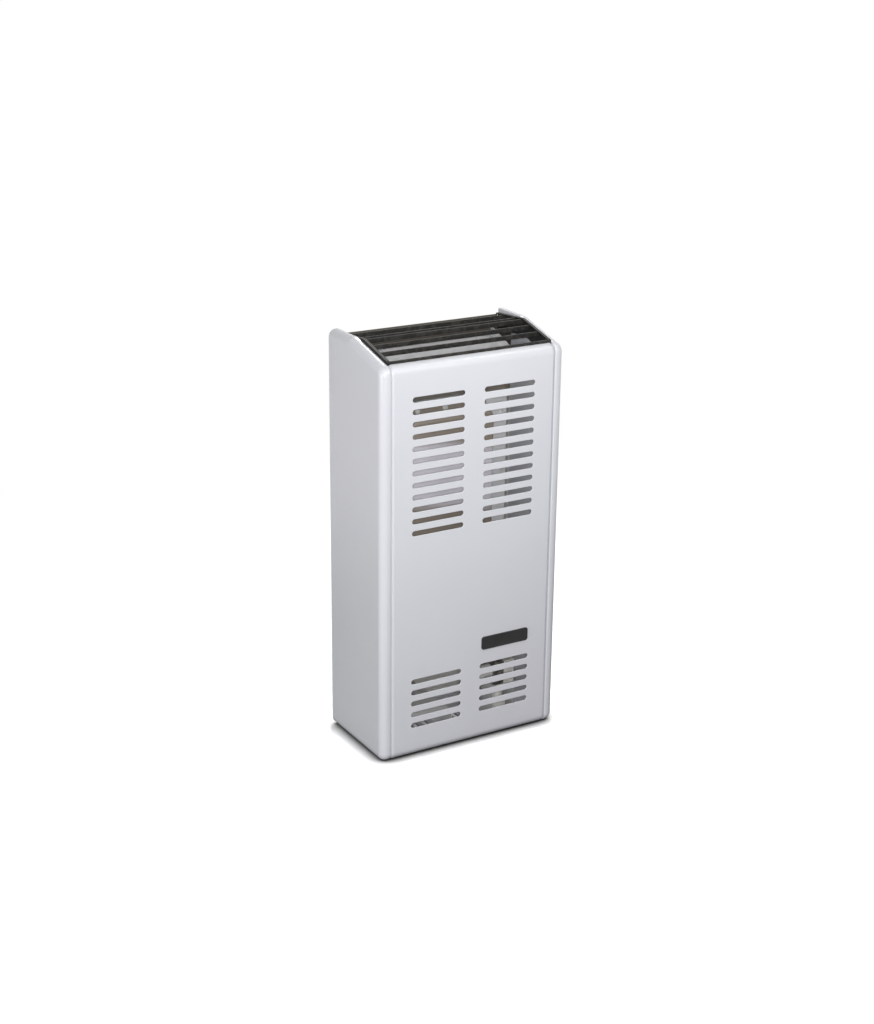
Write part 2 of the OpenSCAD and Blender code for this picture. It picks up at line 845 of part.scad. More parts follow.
module grille_end() {
    difference() {
        union() {
            sidewise(-grille_x, grille_sheet) grille_outline(grille_web);
            sidewise(-grille_x, grille_flange) grille_outline(grille_sheet);
        }
        grille_notches();
        block([-grille_x - 1, front_rail_y - 1, 0],
            [0, front_rail_y + bar_t, front_rail_top + 1]);
        for (d = rivet_depth) {
            rod_x(-grille_x - 1, -grille_x + grille_sheet + 1, rivet_r, d - cabinet_d, rivet_z(d));
        }
    }
}

module grille_end_left() {
    color(black) grille_end();
}

module grille_end_right() {
    color(black) mirror([1, 0, 0]) grille_end();
}

module grille_front_rail() {
    color(black) {
        block([-grille_x, front_rail_y, front_rail_top - front_rail_h],
            [grille_x, front_rail_y + bar_t, front_rail_top]);
    }
}

module grille_bar(i) {
    color(black) bar_shape(bar_at[i], bar_top(i), bar_h, 0);
}

module grille_bar_1() {
    grille_bar(0);
}

module grille_bar_2() {
    grille_bar(1);
}

module grille_bar_3() {
    grille_bar(2);
}

module grille_bar_4() {
    grille_bar(3);
}

module grille_back_rail() {
    color(black) bar_shape(back_rail_at, back_rail_top, bar_h, 0);
}

// Rivets that hold the grille's end plates to the cheeks' lips
module grille_rivets() {
    inner = grille_x - grille_sheet;
    color(zinc) for (s = [0, 1], d = rivet_depth) {
        mirror([s, 0, 0]) {
            rod_x(inner, lip_x + cheek_sheet, rivet_r, d - cabinet_d, rivet_z(d));
            rod_x(inner - rivet_head_h, inner, rivet_head_r, d - cabinet_d, rivet_z(d));
            rod_x(lip_x + cheek_sheet, lip_x + cheek_sheet + rivet_head_h, rivet_head_r,
                d - cabinet_d, rivet_z(d));
        }
    }
}

// ---------------------------------------------------------------- heat exchanger and flue

// Bright sheet that throws the rising warm air forward, away from the wall
module warm_air_deflector() {
    y0 = -back_sheet;
    y1 = y0 - deflector_d;
    z1 = deflector_z - deflector_rise;
    color(bright) {
        sidewise(-deflector_half, 2 * deflector_half) polygon([
            [y0, deflector_z],
            [y1, z1],
            [y1, z1 - 6],
            [y1 + deflector_sheet, z1 - 6],
            [y1 + deflector_sheet, z1 - deflector_sheet],
            [y0 - deflector_sheet, deflector_z - 1.2 * deflector_sheet],
            [y0 - deflector_sheet, deflector_z - deflector_foot],
            [y0, deflector_z - deflector_foot]
        ]);
        for (s = [0, 1]) mirror([s, 0, 0])
            sidewise(deflector_half - deflector_sheet, deflector_sheet) polygon([
                [y0, deflector_z - deflector_foot],
                [y0, deflector_z + deflector_end_h],
                [y1, z1 + deflector_end_h],
                [y1, z1 - 6]
            ]);
    }
}

module chamber_screw_holes() {
    for (p = chamber_screw_spots) {
        rod_y(front_flange_y - 2, rear_flange_y + chamber_sheet + bracket_sheet + 1,
            screw_r + screw_fit, p[0], p[1]);
    }
}

// The joint flange as a flat ring round the inside of a body as wide as w
module joint_ring(y, t, w) {
    translate([0, 0, joint_mid_z]) upright(y, t) difference() {
        round_rect(joint_w, joint_h, 6);
        round_rect(w - 2 * chamber_sheet, body_h - 2 * chamber_sheet, shell_corner - chamber_sheet);
    }
}

// A tray pressed from sheet: open at the joint, closed at its face
module shell_body(w, y_face, y_wall0, y_wall1) {
    translate([0, 0, joint_mid_z]) {
        upright(y_face, chamber_sheet) round_rect(w, body_h, shell_corner);
        upright(y_wall0, y_wall1 - y_wall0) difference() {
            round_rect(w, body_h, shell_corner);
            round_rect(w - 2 * chamber_sheet, body_h - 2 * chamber_sheet, shell_corner - chamber_sheet);
        }
    }
}

module chamber_front_shell() {
    color(brown) difference() {
        union() {
            shell_body(front_shell_w, shell_face_y, shell_face_y, joint_y);
            joint_ring(front_flange_y, chamber_sheet, front_shell_w);
        }
        chamber_screw_holes();
        rod_y(shell_face_y - 1, shell_face_y + chamber_sheet + 1, sight_r, sight_x, sight_z);
        sight_screw_bores();
        block([pilot_plate_x0 + 4, pilot_y - 6, body_z - 1],
            [pilot_plate_x1 - 4, pilot_y + 6, body_z + chamber_sheet + 1]);
    }
}

module chamber_rear_shell() {
    color(brown) difference() {
        union() {
            shell_body(rear_shell_w, rear_wall_y, rear_flange_y, rear_wall_y + chamber_sheet);
            joint_ring(rear_flange_y, chamber_sheet, rear_shell_w);
        }
        chamber_screw_holes();
        rod_y(rear_wall_y - 1, rear_wall_y + chamber_sheet + 1, exhaust_out_r + pipe_fit, 0, flue_z);
        block([-air_port_w / 2, rear_wall_y - 1, air_port_z],
            [air_port_w / 2, rear_wall_y + chamber_sheet + 1, air_port_z + air_port_h]);
        rod_x(rear_shell_w / 2 - chamber_sheet - 1, rear_shell_w / 2 + 1, holder_r, burner_axis_y, burner_z);
    }
}

module chamber_gasket() {
    color([0.75, 0.73, 0.68]) difference() {
        joint_ring(joint_y, gasket_t, rear_shell_w);
        chamber_screw_holes();
    }
}

module chamber_screws() {
    color(zinc) for (p = chamber_screw_spots) {
        hex_y(front_flange_y - screw_head_h, front_flange_y, screw_head_r, p[0], p[1]);
        rod_y(front_flange_y, front_flange_y + chamber_screw_len, screw_r, p[0], p[1]);
    }
}

function sight_spot(i) = [
    sight_x + sight_screw_ring * sin(i * 360 / sight_screw_count),
    sight_z + sight_screw_ring * cos(i * 360 / sight_screw_count)
];

module sight_screw_bores() {
    for (i = [0:sight_screw_count - 1]) {
        rod_y(shell_face_y - glass_t - 2, shell_face_y + chamber_sheet + 1, sight_screw_r,
            sight_spot(i)[0], sight_spot(i)[1]);
    }
}

// Glass disc in front of the hole, held by a rimmed frame
module sight_glass() {
    color([0.6, 0.7, 0.7]) rod_y(shell_face_y - glass_t, shell_face_y, sight_r + 1.5, sight_x, sight_z);
}

module sight_frame() {
    back = shell_face_y;
    front = shell_face_y - glass_t - sight_frame_t;
    color(bright) difference() {
        rod_y(front, back, sight_r + sight_rim, sight_x, sight_z);
        rod_y(front - 1, back + 1, sight_r, sight_x, sight_z);
        rod_y(front + sight_frame_t, back + 1, sight_r + 1.5 + screw_fit, sight_x, sight_z);
        for (i = [0:sight_screw_count - 1]) {
            rod_y(front - 1, back + 1, sight_screw_r, sight_spot(i)[0], sight_spot(i)[1]);
        }
    }
}

module sight_screws() {
    front = shell_face_y - glass_t - sight_frame_t;
    color(zinc) for (i = [0:sight_screw_count - 1]) {
        rod_y(front - 1.6, front, 2.2, sight_spot(i)[0], sight_spot(i)[1]);
        rod_y(front, shell_face_y + chamber_sheet + 1, sight_screw_r, sight_spot(i)[0], sight_spot(i)[1]);
    }
}

// Brackets from the joint flange back to the back plate
module chamber_brackets() {
    tab_y = rear_flange_y + chamber_sheet;
    tab_len = bracket_x - rear_shell_w / 2 - 1;
    color(zinc) difference() {
        for (s = [0, 1], z = bracket_z) mirror([s, 0, 0]) translate([0, 0, z - bracket_h / 2]) {
            block([bracket_x - tab_len, tab_y, 0], [bracket_x, tab_y + bracket_sheet, bracket_h]);
            block([bracket_x - bracket_sheet, tab_y, 0], [bracket_x, -back_sheet, bracket_h]);
            block([bracket_x - bracket_sheet, -back_sheet - bracket_sheet, 0],
                [bracket_x + bracket_foot, -back_sheet, bracket_h]);
        }
        chamber_screw_holes();
        for (s = [-1, 1], z = bracket_z) {
            rod_y(-back_sheet - bracket_sheet - 1, 0, screw_r, s * foot_rivet_x, z);
        }
    }
}

module bracket_rivets() {
    head_y = -back_sheet - bracket_sheet;
    color(zinc) for (s = [-1, 1], z = bracket_z) {
        rod_y(head_y - 1.5, head_y, screw_head_r, s * foot_rivet_x, z);
        rod_y(head_y, -0.1, screw_r, s * foot_rivet_x, z);
    }
}

// Channel on the back plate that leads the outside air down to the burner
// Front wall of the duct, which the exhaust pipe passes
module air_duct() {
    front = duct_front_y;
    color(zinc) difference() {
        translate([0, 0, duct_z + duct_h / 2])
            upright(front, duct_sheet) square([duct_w, duct_h], center = true);
        rod_y(front - 1, front + duct_sheet + 1, exhaust_out_r + pipe_fit, 0, flue_z);
        block([-air_port_w / 2, front - 1, air_port_z],
            [air_port_w / 2, front + duct_sheet + 1, air_port_z + air_port_h]);
    }
}

// Band that joins the duct's front wall to the back plate all round
module duct_walls() {
    front = duct_front_y + duct_sheet;
    color(zinc) translate([0, 0, duct_z + duct_h / 2]) {
        upright(front, -back_sheet - front) difference() {
            square([duct_w, duct_h], center = true);
            square([duct_w - 2 * duct_sheet, duct_h - 2 * duct_sheet], center = true);
        }
    }
}

module intake_collar() {
    outer = intake_r + intake_wall;
    color(bright) difference() {
        union() {
            rod_y(-back_sheet - 1, intake_out, outer, 0, flue_z);
            rod_y(-back_sheet - 1, -back_sheet, outer + collar_rim, 0, flue_z);
        }
        rod_y(-back_sheet - 2, intake_out + 1, intake_r, 0, flue_z);
    }
}

module exhaust_pipe() {
    color(bright) difference() {
        union() {
            rod_y(rear_wall_y - 1, exhaust_out, exhaust_out_r, 0, flue_z);
            rod_y(rear_wall_y - 1, rear_wall_y, exhaust_out_r + exhaust_rim, 0, flue_z);
        }
        rod_y(rear_wall_y - 2, exhaust_out + 1, exhaust_r, 0, flue_z);
    }
}

module flue_gasket() {
    y = duct_front_y + duct_sheet;
    color([0.75, 0.73, 0.68]) difference() {
        rod_y(y, y + flue_gasket_t, exhaust_out_r + flue_gasket_w, 0, flue_z);
        rod_y(y - 1, y + flue_gasket_t + 1, exhaust_out_r, 0, flue_z);
    }
}

// ---------------------------------------------------------------- burner and pilot

// Turns a [radius, X] outline round the X axis
module turned() {
    rotate([0, 90, 0]) rotate_extrude() children();
}

module burner_tube() {
    w = burner_wall;
    cone_end = burner_right + cone_len;
    color([0.66, 0.62, 0.58]) translate([0, burner_axis_y, burner_z]) difference() {
        turned() polygon([
            [0, burner_left],
            [burner_r, burner_left],
            [burner_r, burner_right],
            [inlet_r, cone_end],
            [inlet_r, inlet_right],
            [inlet_r - w, inlet_right],
            [inlet_r - w, cone_end],
            [burner_r - w, burner_right],
            [burner_r - w, burner_left + w],
            [0, burner_left + w]
        ]);
        for (x = [burner_left + port_margin:port_pitch:burner_right - port_margin]) {
            block([x - port_w / 2, -port_len / 2, burner_r - 4], [x + port_w / 2, port_len / 2, burner_r + 1]);
        }
        shutter_ports();
    }
}

// Four air windows, square round the axis
module shutter_ports() {
    x = shutter_x + (shutter_len - shutter_port) / 2;
    reach = inlet_r + shutter_wall + 1;
    block([x, -shutter_port_w / 2, -reach], [x + shutter_port, shutter_port_w / 2, reach]);
    block([x, -reach, -shutter_port_w / 2], [x + shutter_port, reach, shutter_port_w / 2]);
}

// Turning collar that opens and shuts the primary air windows
module air_shutter() {
    inner = inlet_r + shutter_fit;
    outer = inner + shutter_wall;
    color(bright) translate([0, burner_axis_y, burner_z]) difference() {
        union() {
            rod_x(shutter_x, shutter_x + shutter_len, outer, 0, 0);
            rotate([-45, 0, 0]) block([shutter_x, -1, 0], [shutter_x + 2, 1, outer + lever_len]);
        }
        rod_x(shutter_x - 1, shutter_x + shutter_len + 1, inner, 0, 0);
        shutter_ports();
    }
}

// Two plates that carry the burner tube from the chamber's rear wall
module burner_brackets() {
    y0 = rear_wall_y;
    y1 = burner_axis_y - burner_r - 3;
    color(zinc) difference() {
        for (x = bracket_spots) {
            block([x - burner_plate / 2, y1, burner_z - burner_r - 3],
                [x + burner_plate / 2, y0, burner_z + burner_r - 6]);
            block([x - burner_plate / 2, y0 - burner_plate, burner_foot_z],
                [x + 10, y0, burner_z + burner_r - 6]);
        }
        rod_x(burner_left - 1, burner_right + 1, burner_r, burner_axis_y, burner_z);
    }
}

module injector() {
    color(brass) difference() {
        union() {
            rod_x(injector_tip_x, injector_hex_x, 3, burner_axis_y, burner_z);
            hex_x(injector_hex_x, holder_x, 5.5, burner_axis_y, burner_z);
        }
        rod_x(injector_tip_x - 1, holder_x + 1, 0.6, burner_axis_y, burner_z);
    }
}

module injector_holder() {
    color(brass) difference() {
        union() {
            rod_x(holder_x, holder_end, holder_r, burner_axis_y, burner_z);
            hex_x(rear_shell_w / 2, rear_shell_w / 2 + 4, 11, burner_axis_y, burner_z);
        }
        rod_x(holder_x - 1, holder_end + 1, 3, burner_axis_y, burner_z);
    }
}

pilot_plate_x0 = thermocouple_x - 9;
pilot_plate_x1 = pilot_x + 9;

// Plate in the chamber's floor that the pilot, the electrode and the thermocouple stand on
module pilot_plate() {
    color(zinc) difference() {
        block([pilot_plate_x0, pilot_y - 9.5, pilot_plate_z], [pilot_plate_x1, pilot_y + 9.5, body_z]);
        rod_z(pilot_plate_z - 1, body_z + 1, pilot_tube_r, pilot_x, pilot_y);
        rod_z(pilot_plate_z - 1, body_z + 1, electrode_r, electrode_x, pilot_y);
        rod_z(pilot_plate_z - 1, body_z + 1, capillary_r, thermocouple_x, pilot_y);
    }
}

// Pilot burner with a hood that throws its flame at the thermocouple and the main burner
module pilot_burner() {
    body_top = pilot_tip_z - 14;
    color(brass) difference() {
        union() {
            rod_z(body_z, body_top, 4.5, pilot_x, pilot_y);
            rod_z(body_top, body_top + 6, 5.5, pilot_x, pilot_y);
        }
        rod_z(body_z - 1, body_z + 4, pilot_tube_r, pilot_x, pilot_y);
        rod_z(body_z, body_top + 4, 1.2, pilot_x, pilot_y);
        block([pilot_x - 7, pilot_y - 2, body_top + 1.5], [pilot_x, pilot_y + 2, body_top + 4.5]);
        block([pilot_x - 2, pilot_y, body_top + 1.5], [pilot_x + 2, pilot_y + 7, body_top + 4.5]);
    }
}

// Hot tip by the pilot, with its lead down through the chamber's floor to the magnet unit
module thermocouple() {
    color([0.75, 0.5, 0.35]) {
        bent_tube([
            [magnet_x0, valve_y, valve_z],
            [thermocouple_x, valve_y, valve_z],
            [thermocouple_x, pilot_y, valve_z],
            [thermocouple_x, pilot_y, body_z + 14]
        ], capillary_r, capillary_r, lead_bend);
        rod_z(body_z + 14, pilot_tip_z, 2.2, thermocouple_x, pilot_y);
    }
}

module spark_electrode() {
    ceramic_top = body_z + 16;
    color([0.9, 0.88, 0.82]) {
        rod_z(lead_z + 5, ceramic_top, electrode_r, electrode_x, pilot_y);
        rod_z(ceramic_top, pilot_tip_z - 6, electrode_wire_r, electrode_x, pilot_y);
    }
}

// High-tension lead from the igniter to the electrode
module ignition_lead() {
    color([0.7, 0.25, 0.15]) bent_tube([
        [igniter_x0 - terminal_len, igniter_y, igniter_z],
        [lead_drop_x, igniter_y, igniter_z],
        [lead_drop_x, igniter_y, lead_z],
        [electrode_x, igniter_y, lead_z],
        [electrode_x, pilot_y, lead_z],
        [electrode_x, pilot_y, lead_z + 5]
    ], lead_r, lead_r, lead_bend);
}

module pilot_tube() {
    color([0.8, 0.55, 0.4]) bent_tube([
        [pilot_outlet_x, pilot_y, valve_z + valve_h / 2],
        [pilot_outlet_x, pilot_y, pilot_tube_z],
        [pilot_x, pilot_y, pilot_tube_z],
        [pilot_x, pilot_y, body_z + 4]
    ], pilot_tube_r, 0.6, lead_bend);
}

module gas_tube() {
    color([0.8, 0.8, 0.8]) bent_tube([
        [outlet_x, outlet_nut_y, valve_z],
        [outlet_x, burner_axis_y, valve_z],
        [tube_riser_x, burner_axis_y, valve_z],
        [tube_riser_x, burner_axis_y, burner_z],
        [holder_end, burner_axis_y, burner_z]
    ], gas_tube_r, gas_tube_wall, gas_tube_bend);
}

// Compression nuts at the two ends of the gas tube
module tube_nuts() {
    color(brass) difference() {
        union() {
            hex_y(outlet_nut_y, outlet_nut_y + nut_len, nut_r, outlet_x, valve_z);
            hex_x(holder_end, holder_end + nut_len, nut_r, burner_axis_y, burner_z);
        }
        rod_y(outlet_nut_y - 1, outlet_nut_y + nut_len + 1, gas_tube_r, outlet_x, valve_z);
        rod_x(holder_end - 1, holder_end + nut_len + 1, gas_tube_r, burner_axis_y, burner_z);
    }
}

// ---------------------------------------------------------------- gas control

module at_valve_axis() {
    translate([0, valve_y, valve_z]) children();
}

// Radius of the plug at a place along X
function plug_radius(x) = plug_r - plug_taper * (valve_x1 - x) / (valve_x1 - plug_x0);

module gas_valve_body() {
    color([0.45, 0.42, 0.36]) at_valve_axis() difference() {
        block([valve_x0, -valve_d / 2, -valve_h / 2], [valve_x1, valve_d / 2, valve_h / 2]);
        turned() polygon([
            [0, plug_x0],
            [plug_r - plug_taper + spindle_fit, plug_x0],
            [plug_r + spindle_fit, valve_x1],
            [plug_r + spindle_fit, valve_x1 + 1],
            [0, valve_x1 + 1]
        ]);
        rod_x(valve_x0 - 1, plug_x0 + 1, disc_stem_r + spindle_fit, 0, 0);
        translate([outlet_x, 0, 0]) rotate([-90, 0, 0]) cylinder(r = gas_tube_r - gas_tube_wall, h = valve_d);
        translate([pilot_outlet_x, pilot_y - valve_y, 0]) cylinder(r = 1.4, h = valve_h);
        translate([union_x, 0, -valve_h]) cylinder(r = union_bore_r, h = valve_h);
        bonnet_screw_rods(-6, 0.2, 1.5);
    }
}

module bonnet_screw_rods(from, to, r) {
    for (a = [-1, 1]) {
        rod_x(valve_x1 + from, valve_x1 + bonnet_t + to, r, a * (valve_d / 2 - bonnet_screw_inset),
            a * (valve_h / 2 - bonnet_screw_inset));
    }
}

module valve_bonnet() {
    color([0.55, 0.53, 0.5]) at_valve_axis() difference() {
        block([valve_x1, -valve_d / 2, -valve_h / 2], [valve_x1 + bonnet_t, valve_d / 2, valve_h / 2]);
        rod_x(valve_x1 - 1, valve_x1 + bonnet_t + 1, spindle_r + spindle_fit, 0, 0);
        bonnet_screw_rods(-6, 1, 1.5);
    }
}

module bonnet_screws() {
    color(zinc) at_valve_axis() {
        bonnet_screw_rods(-6, 0, 1.5);
        for (a = [-1, 1]) {
            rod_x(valve_x1 + bonnet_t, valve_x1 + bonnet_t + 2, 2.8,
                a * (valve_d / 2 - bonnet_screw_inset), a * (valve_h / 2 - bonnet_screw_inset));
        }
    }
}

// Outline of the spindle across its length, with one flat
module spindle_shape(extra) {
    difference() {
        circle(spindle_r + extra);
        translate([-spindle_r - 1, spindle_r - spindle_flat + extra]) square(2 * spindle_r + 2);
    }
}

// Tapered plug that the spindle turns
module taper_plug() {
    color(brass) at_valve_axis() difference() {
        turned() polygon([
            [0, plug_x0 + plug_end_gap],
            [plug_radius(plug_x0 + plug_end_gap), plug_x0 + plug_end_gap],
            [plug_r, valve_x1 - 0.05],
            [0, valve_x1 - 0.05]
        ]);
        rod_x(plug_x0 - 1, valve_x1, disc_stem_r + spindle_fit, 0, 0);
        translate([spindle_bore_x, 0, 0]) rotate([0, 90, 0]) linear_extrude(valve_len)
            spindle_shape(spindle_fit);
        rod_z(-plug_r - 1, 0, union_bore_r - 1, union_x, 0);
    }
}

module valve_spindle() {
    color(zinc) at_valve_axis() {
        translate([spindle_tip_x, 0, 0]) rotate([0, 90, 0])
            linear_extrude(spindle_round_x - spindle_tip_x) spindle_shape(0);
        rod_x(spindle_round_x, spindle_end_x, spindle_r, 0, 0);
    }
}

// Round knob with finger flutes and a raised pointer across its cap
module control_knob() {
    color(black) at_valve_axis() difference() {
        union() {
            turned() polygon([
                [0, knob_x],
                [knob_r, knob_x],
                [knob_r, knob_x + 3],
                [knob_r - 2, knob_end - 1.5],
                [knob_r - 3.5, knob_end],
                [0, knob_end]
            ]);
            block([knob_end - 1, -1.5, 0], [knob_end + 1, 1.5, knob_cap_r]);
        }
        for (i = [0:knob_flutes - 1]) {
            rotate([i * 360 / knob_flutes + 15, 0, 0]) rod_x(knob_x + 4, knob_end + 2, 2.5, 0, knob_r + 0.5);
        }
        rod_x(knob_x - 1, spindle_end_x, spindle_r, 0, 0);
    }
}

// Cup with the holding magnet, screwed on the valve's left end
module magnet_unit() {
    color([0.8, 0.8, 0.82]) at_valve_axis() {
        difference() {
            union() {
                rod_x(magnet_x0, valve_x0, magnet_r, 0, 0);
                hex_x(magnet_x0, magnet_x0 + 7, magnet_r + 1.5, 0, 0);
            }
            rod_x(magnet_x0 + magnet_wall, valve_x0 + 1, magnet_r - magnet_wall, 0, 0);
        }
        rod_x(magnet_x0 + magnet_wall - eps, magnet_core_x, magnet_core_r, 0, 0);
    }
}

// Safety valve disc with the stem that the spindle pushes
module safety_disc() {
    color(zinc) at_valve_axis() {
        rod_x(disc_x, disc_x + disc_t, disc_r, 0, 0);
        rod_x(disc_x + disc_t - eps, stem_tip_x, disc_stem_r, 0, 0);
    }
}

// Saddle that carries the valve on the base tray
module valve_bracket() {
    y0 = valve_y - valve_d / 2;
    y1 = valve_y + valve_d / 2;
    color(zinc) difference() {
        union() {
            block([saddle_x0, y0, saddle_z - saddle_t], [saddle_x1, y1, saddle_z]);
            block([saddle_x0, y0, tray_top], [saddle_x0 + saddle_t, y1, saddle_z]);
            block([saddle_x1 - saddle_t, y0, tray_top], [saddle_x1, y1, saddle_z]);
            block([saddle_x1 - saddle_t, y0, tray_top], [saddle_x1 + saddle_foot, y1, tray_top + saddle_t]);
            block([saddle_x0 - saddle_foot, y0, tray_top], [saddle_x0 + saddle_t, y1, tray_top + saddle_t]);
        }
        rod_z(saddle_z - saddle_t - 1, saddle_z + 1, union_neck_r, union_x, valve_y);
    }
}

// Gas inlet with a female thread that opens downwards through the base tray
module gas_inlet_union() {
    color(brass) difference() {
        union() {
            translate([union_x, valve_y, union_z0]) cylinder(r = union_hex_r, h = union_hex_h, $fn = 6);
            rod_z(union_z0, saddle_z, union_neck_r, union_x, valve_y);
        }
        rod_z(union_z0 - 1, union_z0 + gas_bore_len, gas_bore_r, union_x, valve_y);
        rod_z(union_z0, saddle_z + 1, union_bore_r, union_x, valve_y);
    }
}

// ---------------------------------------------------------------- igniter and control plate

module igniter_barrel() {
    color(black) translate([0, igniter_y, igniter_z]) difference() {
        union() {
            rod_x(igniter_x0, control_face, igniter_r, 0, 0);
            rod_x(control_face, bezel_x, bezel_r, 0, 0);
            rod_x(igniter_x0 - terminal_len, igniter_x0, terminal_r, 0, 0);
        }
        rod_x(button_end - button_tail - button_travel - 1, bezel_x + 1, button_r + spindle_fit, 0, 0);
    }
}

module igniter_nut() {
    color(black) translate([0, igniter_y, igniter_z]) difference() {
        hex_x(side_in - igniter_nut_t, side_in, igniter_nut_r, 0, 0);
        rod_x(side_in - igniter_nut_t - 1, side_in + 1, igniter_r, 0, 0);
    }
}

module igniter_button() {
    color([0.7, 0.1, 0.1]) translate([0, igniter_y, igniter_z])
        rod_x(button_end - button_tail, button_end, button_r, 0, 0);
}

// Black plate on the right cheek behind the knob and the igniter button
module control_plate() {
    color(black) difference() {
        translate([0, valve_y, control_mid_z]) sidewise(half_w, control_t)
            round_rect(control_w, control_h, control_corner);
        rod_x(half_w - 1, control_face + 1, spindle_hole_r, valve_y, valve_z);
        rod_x(half_w - 1, control_face + 1, igniter_r + pipe_fit, igniter_y, igniter_z);
    }
}

front_panel();
left_cheek();
right_cheek();
badge_plate();
base_tray();
inlet_shield();
back_plate();
grille_end_left();
grille_end_right();
grille_front_rail();
grille_bar_1();
grille_bar_2();
grille_bar_3();
grille_bar_4();
grille_back_rail();
grille_rivets();
panel_screws();
warm_air_deflector();
chamber_front_shell();
chamber_rear_shell();
chamber_gasket();
chamber_screws();
sight_glass();
sight_frame();
sight_screws();
chamber_brackets();
bracket_rivets();
air_duct();
duct_walls();
intake_collar();
exhaust_pipe();
flue_gasket();
burner_tube();
burner_brackets();
air_shutter();
injector();
injector_holder();
pilot_burner();
pilot_plate();
thermocouple();
spark_electrode();
ignition_lead();
pilot_tube();
gas_tube();
tube_nuts();
gas_valve_body();
valve_bonnet();
bonnet_screws();
taper_plug();
valve_spindle();
control_knob();
magnet_unit();
safety_disc();
valve_bracket();
gas_inlet_union();
igniter_barrel();
igniter_nut();
igniter_button();
control_plate();
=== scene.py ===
"""Wall mounted gas heater: the visible cabinet, grille, heat exchanger, gas control and finishes, built
round the packed frame. All lengths are metres. X runs to the right seen from the front, Y into the wall,
Z up."""

import json
import math

import bmesh
import bpy
from bpy.props import FloatProperty, FloatVectorProperty, IntProperty, PointerProperty
from mathutils import Matrix, Quaternion, Vector
from mathutils.geometry import tessellate_polygon


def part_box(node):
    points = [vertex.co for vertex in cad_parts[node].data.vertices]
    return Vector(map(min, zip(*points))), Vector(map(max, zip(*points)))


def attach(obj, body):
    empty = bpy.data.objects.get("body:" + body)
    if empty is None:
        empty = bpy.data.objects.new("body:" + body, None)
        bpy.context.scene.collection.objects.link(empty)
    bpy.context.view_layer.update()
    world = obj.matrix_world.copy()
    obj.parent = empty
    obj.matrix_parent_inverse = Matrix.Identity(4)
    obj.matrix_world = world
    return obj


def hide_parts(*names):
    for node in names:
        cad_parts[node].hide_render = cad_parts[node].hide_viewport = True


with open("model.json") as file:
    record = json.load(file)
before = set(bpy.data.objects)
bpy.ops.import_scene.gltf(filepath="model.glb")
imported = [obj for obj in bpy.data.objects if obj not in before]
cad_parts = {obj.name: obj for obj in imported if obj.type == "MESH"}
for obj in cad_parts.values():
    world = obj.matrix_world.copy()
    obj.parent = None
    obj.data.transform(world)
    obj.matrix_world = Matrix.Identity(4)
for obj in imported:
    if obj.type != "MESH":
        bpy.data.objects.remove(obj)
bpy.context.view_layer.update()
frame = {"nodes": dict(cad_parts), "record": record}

bl_info = {
    "name": "Wall Mounted Gas Heater",
    "version": (1, 0, 0),
    "blender": (4, 5, 0),
    "location": "3D View > Sidebar > Heater",
    "description": "Builds a wall mounted gas heater round its packed frame",
    "category": "Add Mesh",
}

MM = 0.001
PICTURE = (874, 1024)
SENSOR = 36.0
# Faces that meet at less than this are smoothed together; rounded edges stay flat up to the smaller angle
SMOOTH_ANGLE = math.radians(35)
ROUNDED_ANGLE = math.radians(20)
FLAT_ANGLE = math.radians(0.5)
MERGE = 2e-6
EVEN = (1, 1, 1)
SLOTS = {part["node"]: part["material_slot"] for part in frame["record"]["subparts"]}
BODY_OF = {node: body for body, nodes in frame["record"]["behaviour"]["bodies"].items() for node in nodes}
PANEL_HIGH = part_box("front_panel")[1]
CHEEK_LOW, CHEEK_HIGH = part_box("left_cheek")


def size(name, default, description):
    """A length a user may change, in metres, with its default in millimetres."""
    return FloatProperty(name=name, description=description, default=default * MM, min=0, unit="LENGTH",
                         precision=5)


def measured(name, default, description):
    """A length a user may change, with its default in metres, from the frame."""
    return FloatProperty(name=name, description=description, default=default, unit="LENGTH")


def angle(name, default, description):
    """An angle a user may change, with its default in degrees."""
    return FloatProperty(name=name, description=description, default=math.radians(default), subtype="ANGLE")


def power(name, default, description):
    """A lamp's power in watts."""
    return FloatProperty(name=name, description=description, default=default, min=0, unit="POWER")


def count(name, default, description):
    """How many there are of something."""
    return IntProperty(name=name, description=description, default=default, min=1)


def tint(name, default, description):
    """A linear colour a user may change."""
    return FloatVectorProperty(name=name, description=description, default=default, size=3, min=0, max=1,
                               subtype="COLOR")


class CabinetSizes(bpy.types.PropertyGroup):
    """Sizes of the bent sheets of the cabinet."""
    width: measured("Width", -2 * CHEEK_LOW.x, "Overall width")
    height: measured("Height", CHEEK_HIGH.z, "Overall height")
    depth: measured("Depth", -CHEEK_LOW.y, "Wall to front face")
    level_depth: size("Level Top", 57, "Depth of the level part of the top")
    slope: angle("Slope", 14, "Angle of the sloping top")
    bottom_bend: size("Bottom Bend", 12, "Radius between underside and front")
    brow_bend: size("Brow Bend", 14, "Radius between front and slope")
    crest_bend: size("Crest Bend", 20, "Radius between slope and level top")
    sheet: size("Cheek Sheet", 1.2, "Sheet of the cheeks")
    rim_bend: size("Rim", 11, "Radius of a cheek's rolled rim")
    cheek_band: size("Cheek Band", 15, "Width of a cheek seen from the front")
    lip_bend: size("Lip Bend", 1.4, "Radius between a cheek's face and its return lip")
    front_lip: size("Front Lip", 10, "Depth of the return lip down the front")
    top_lip: size("Top Lip", 19, "Depth of the return lip along the top")
    spindle_hole: size("Spindle Hole", 6, "Radius of the spindle's hole in the right cheek")
    igniter_hole: size("Igniter Hole", 8.1, "Radius of the igniter's hole in the right cheek")


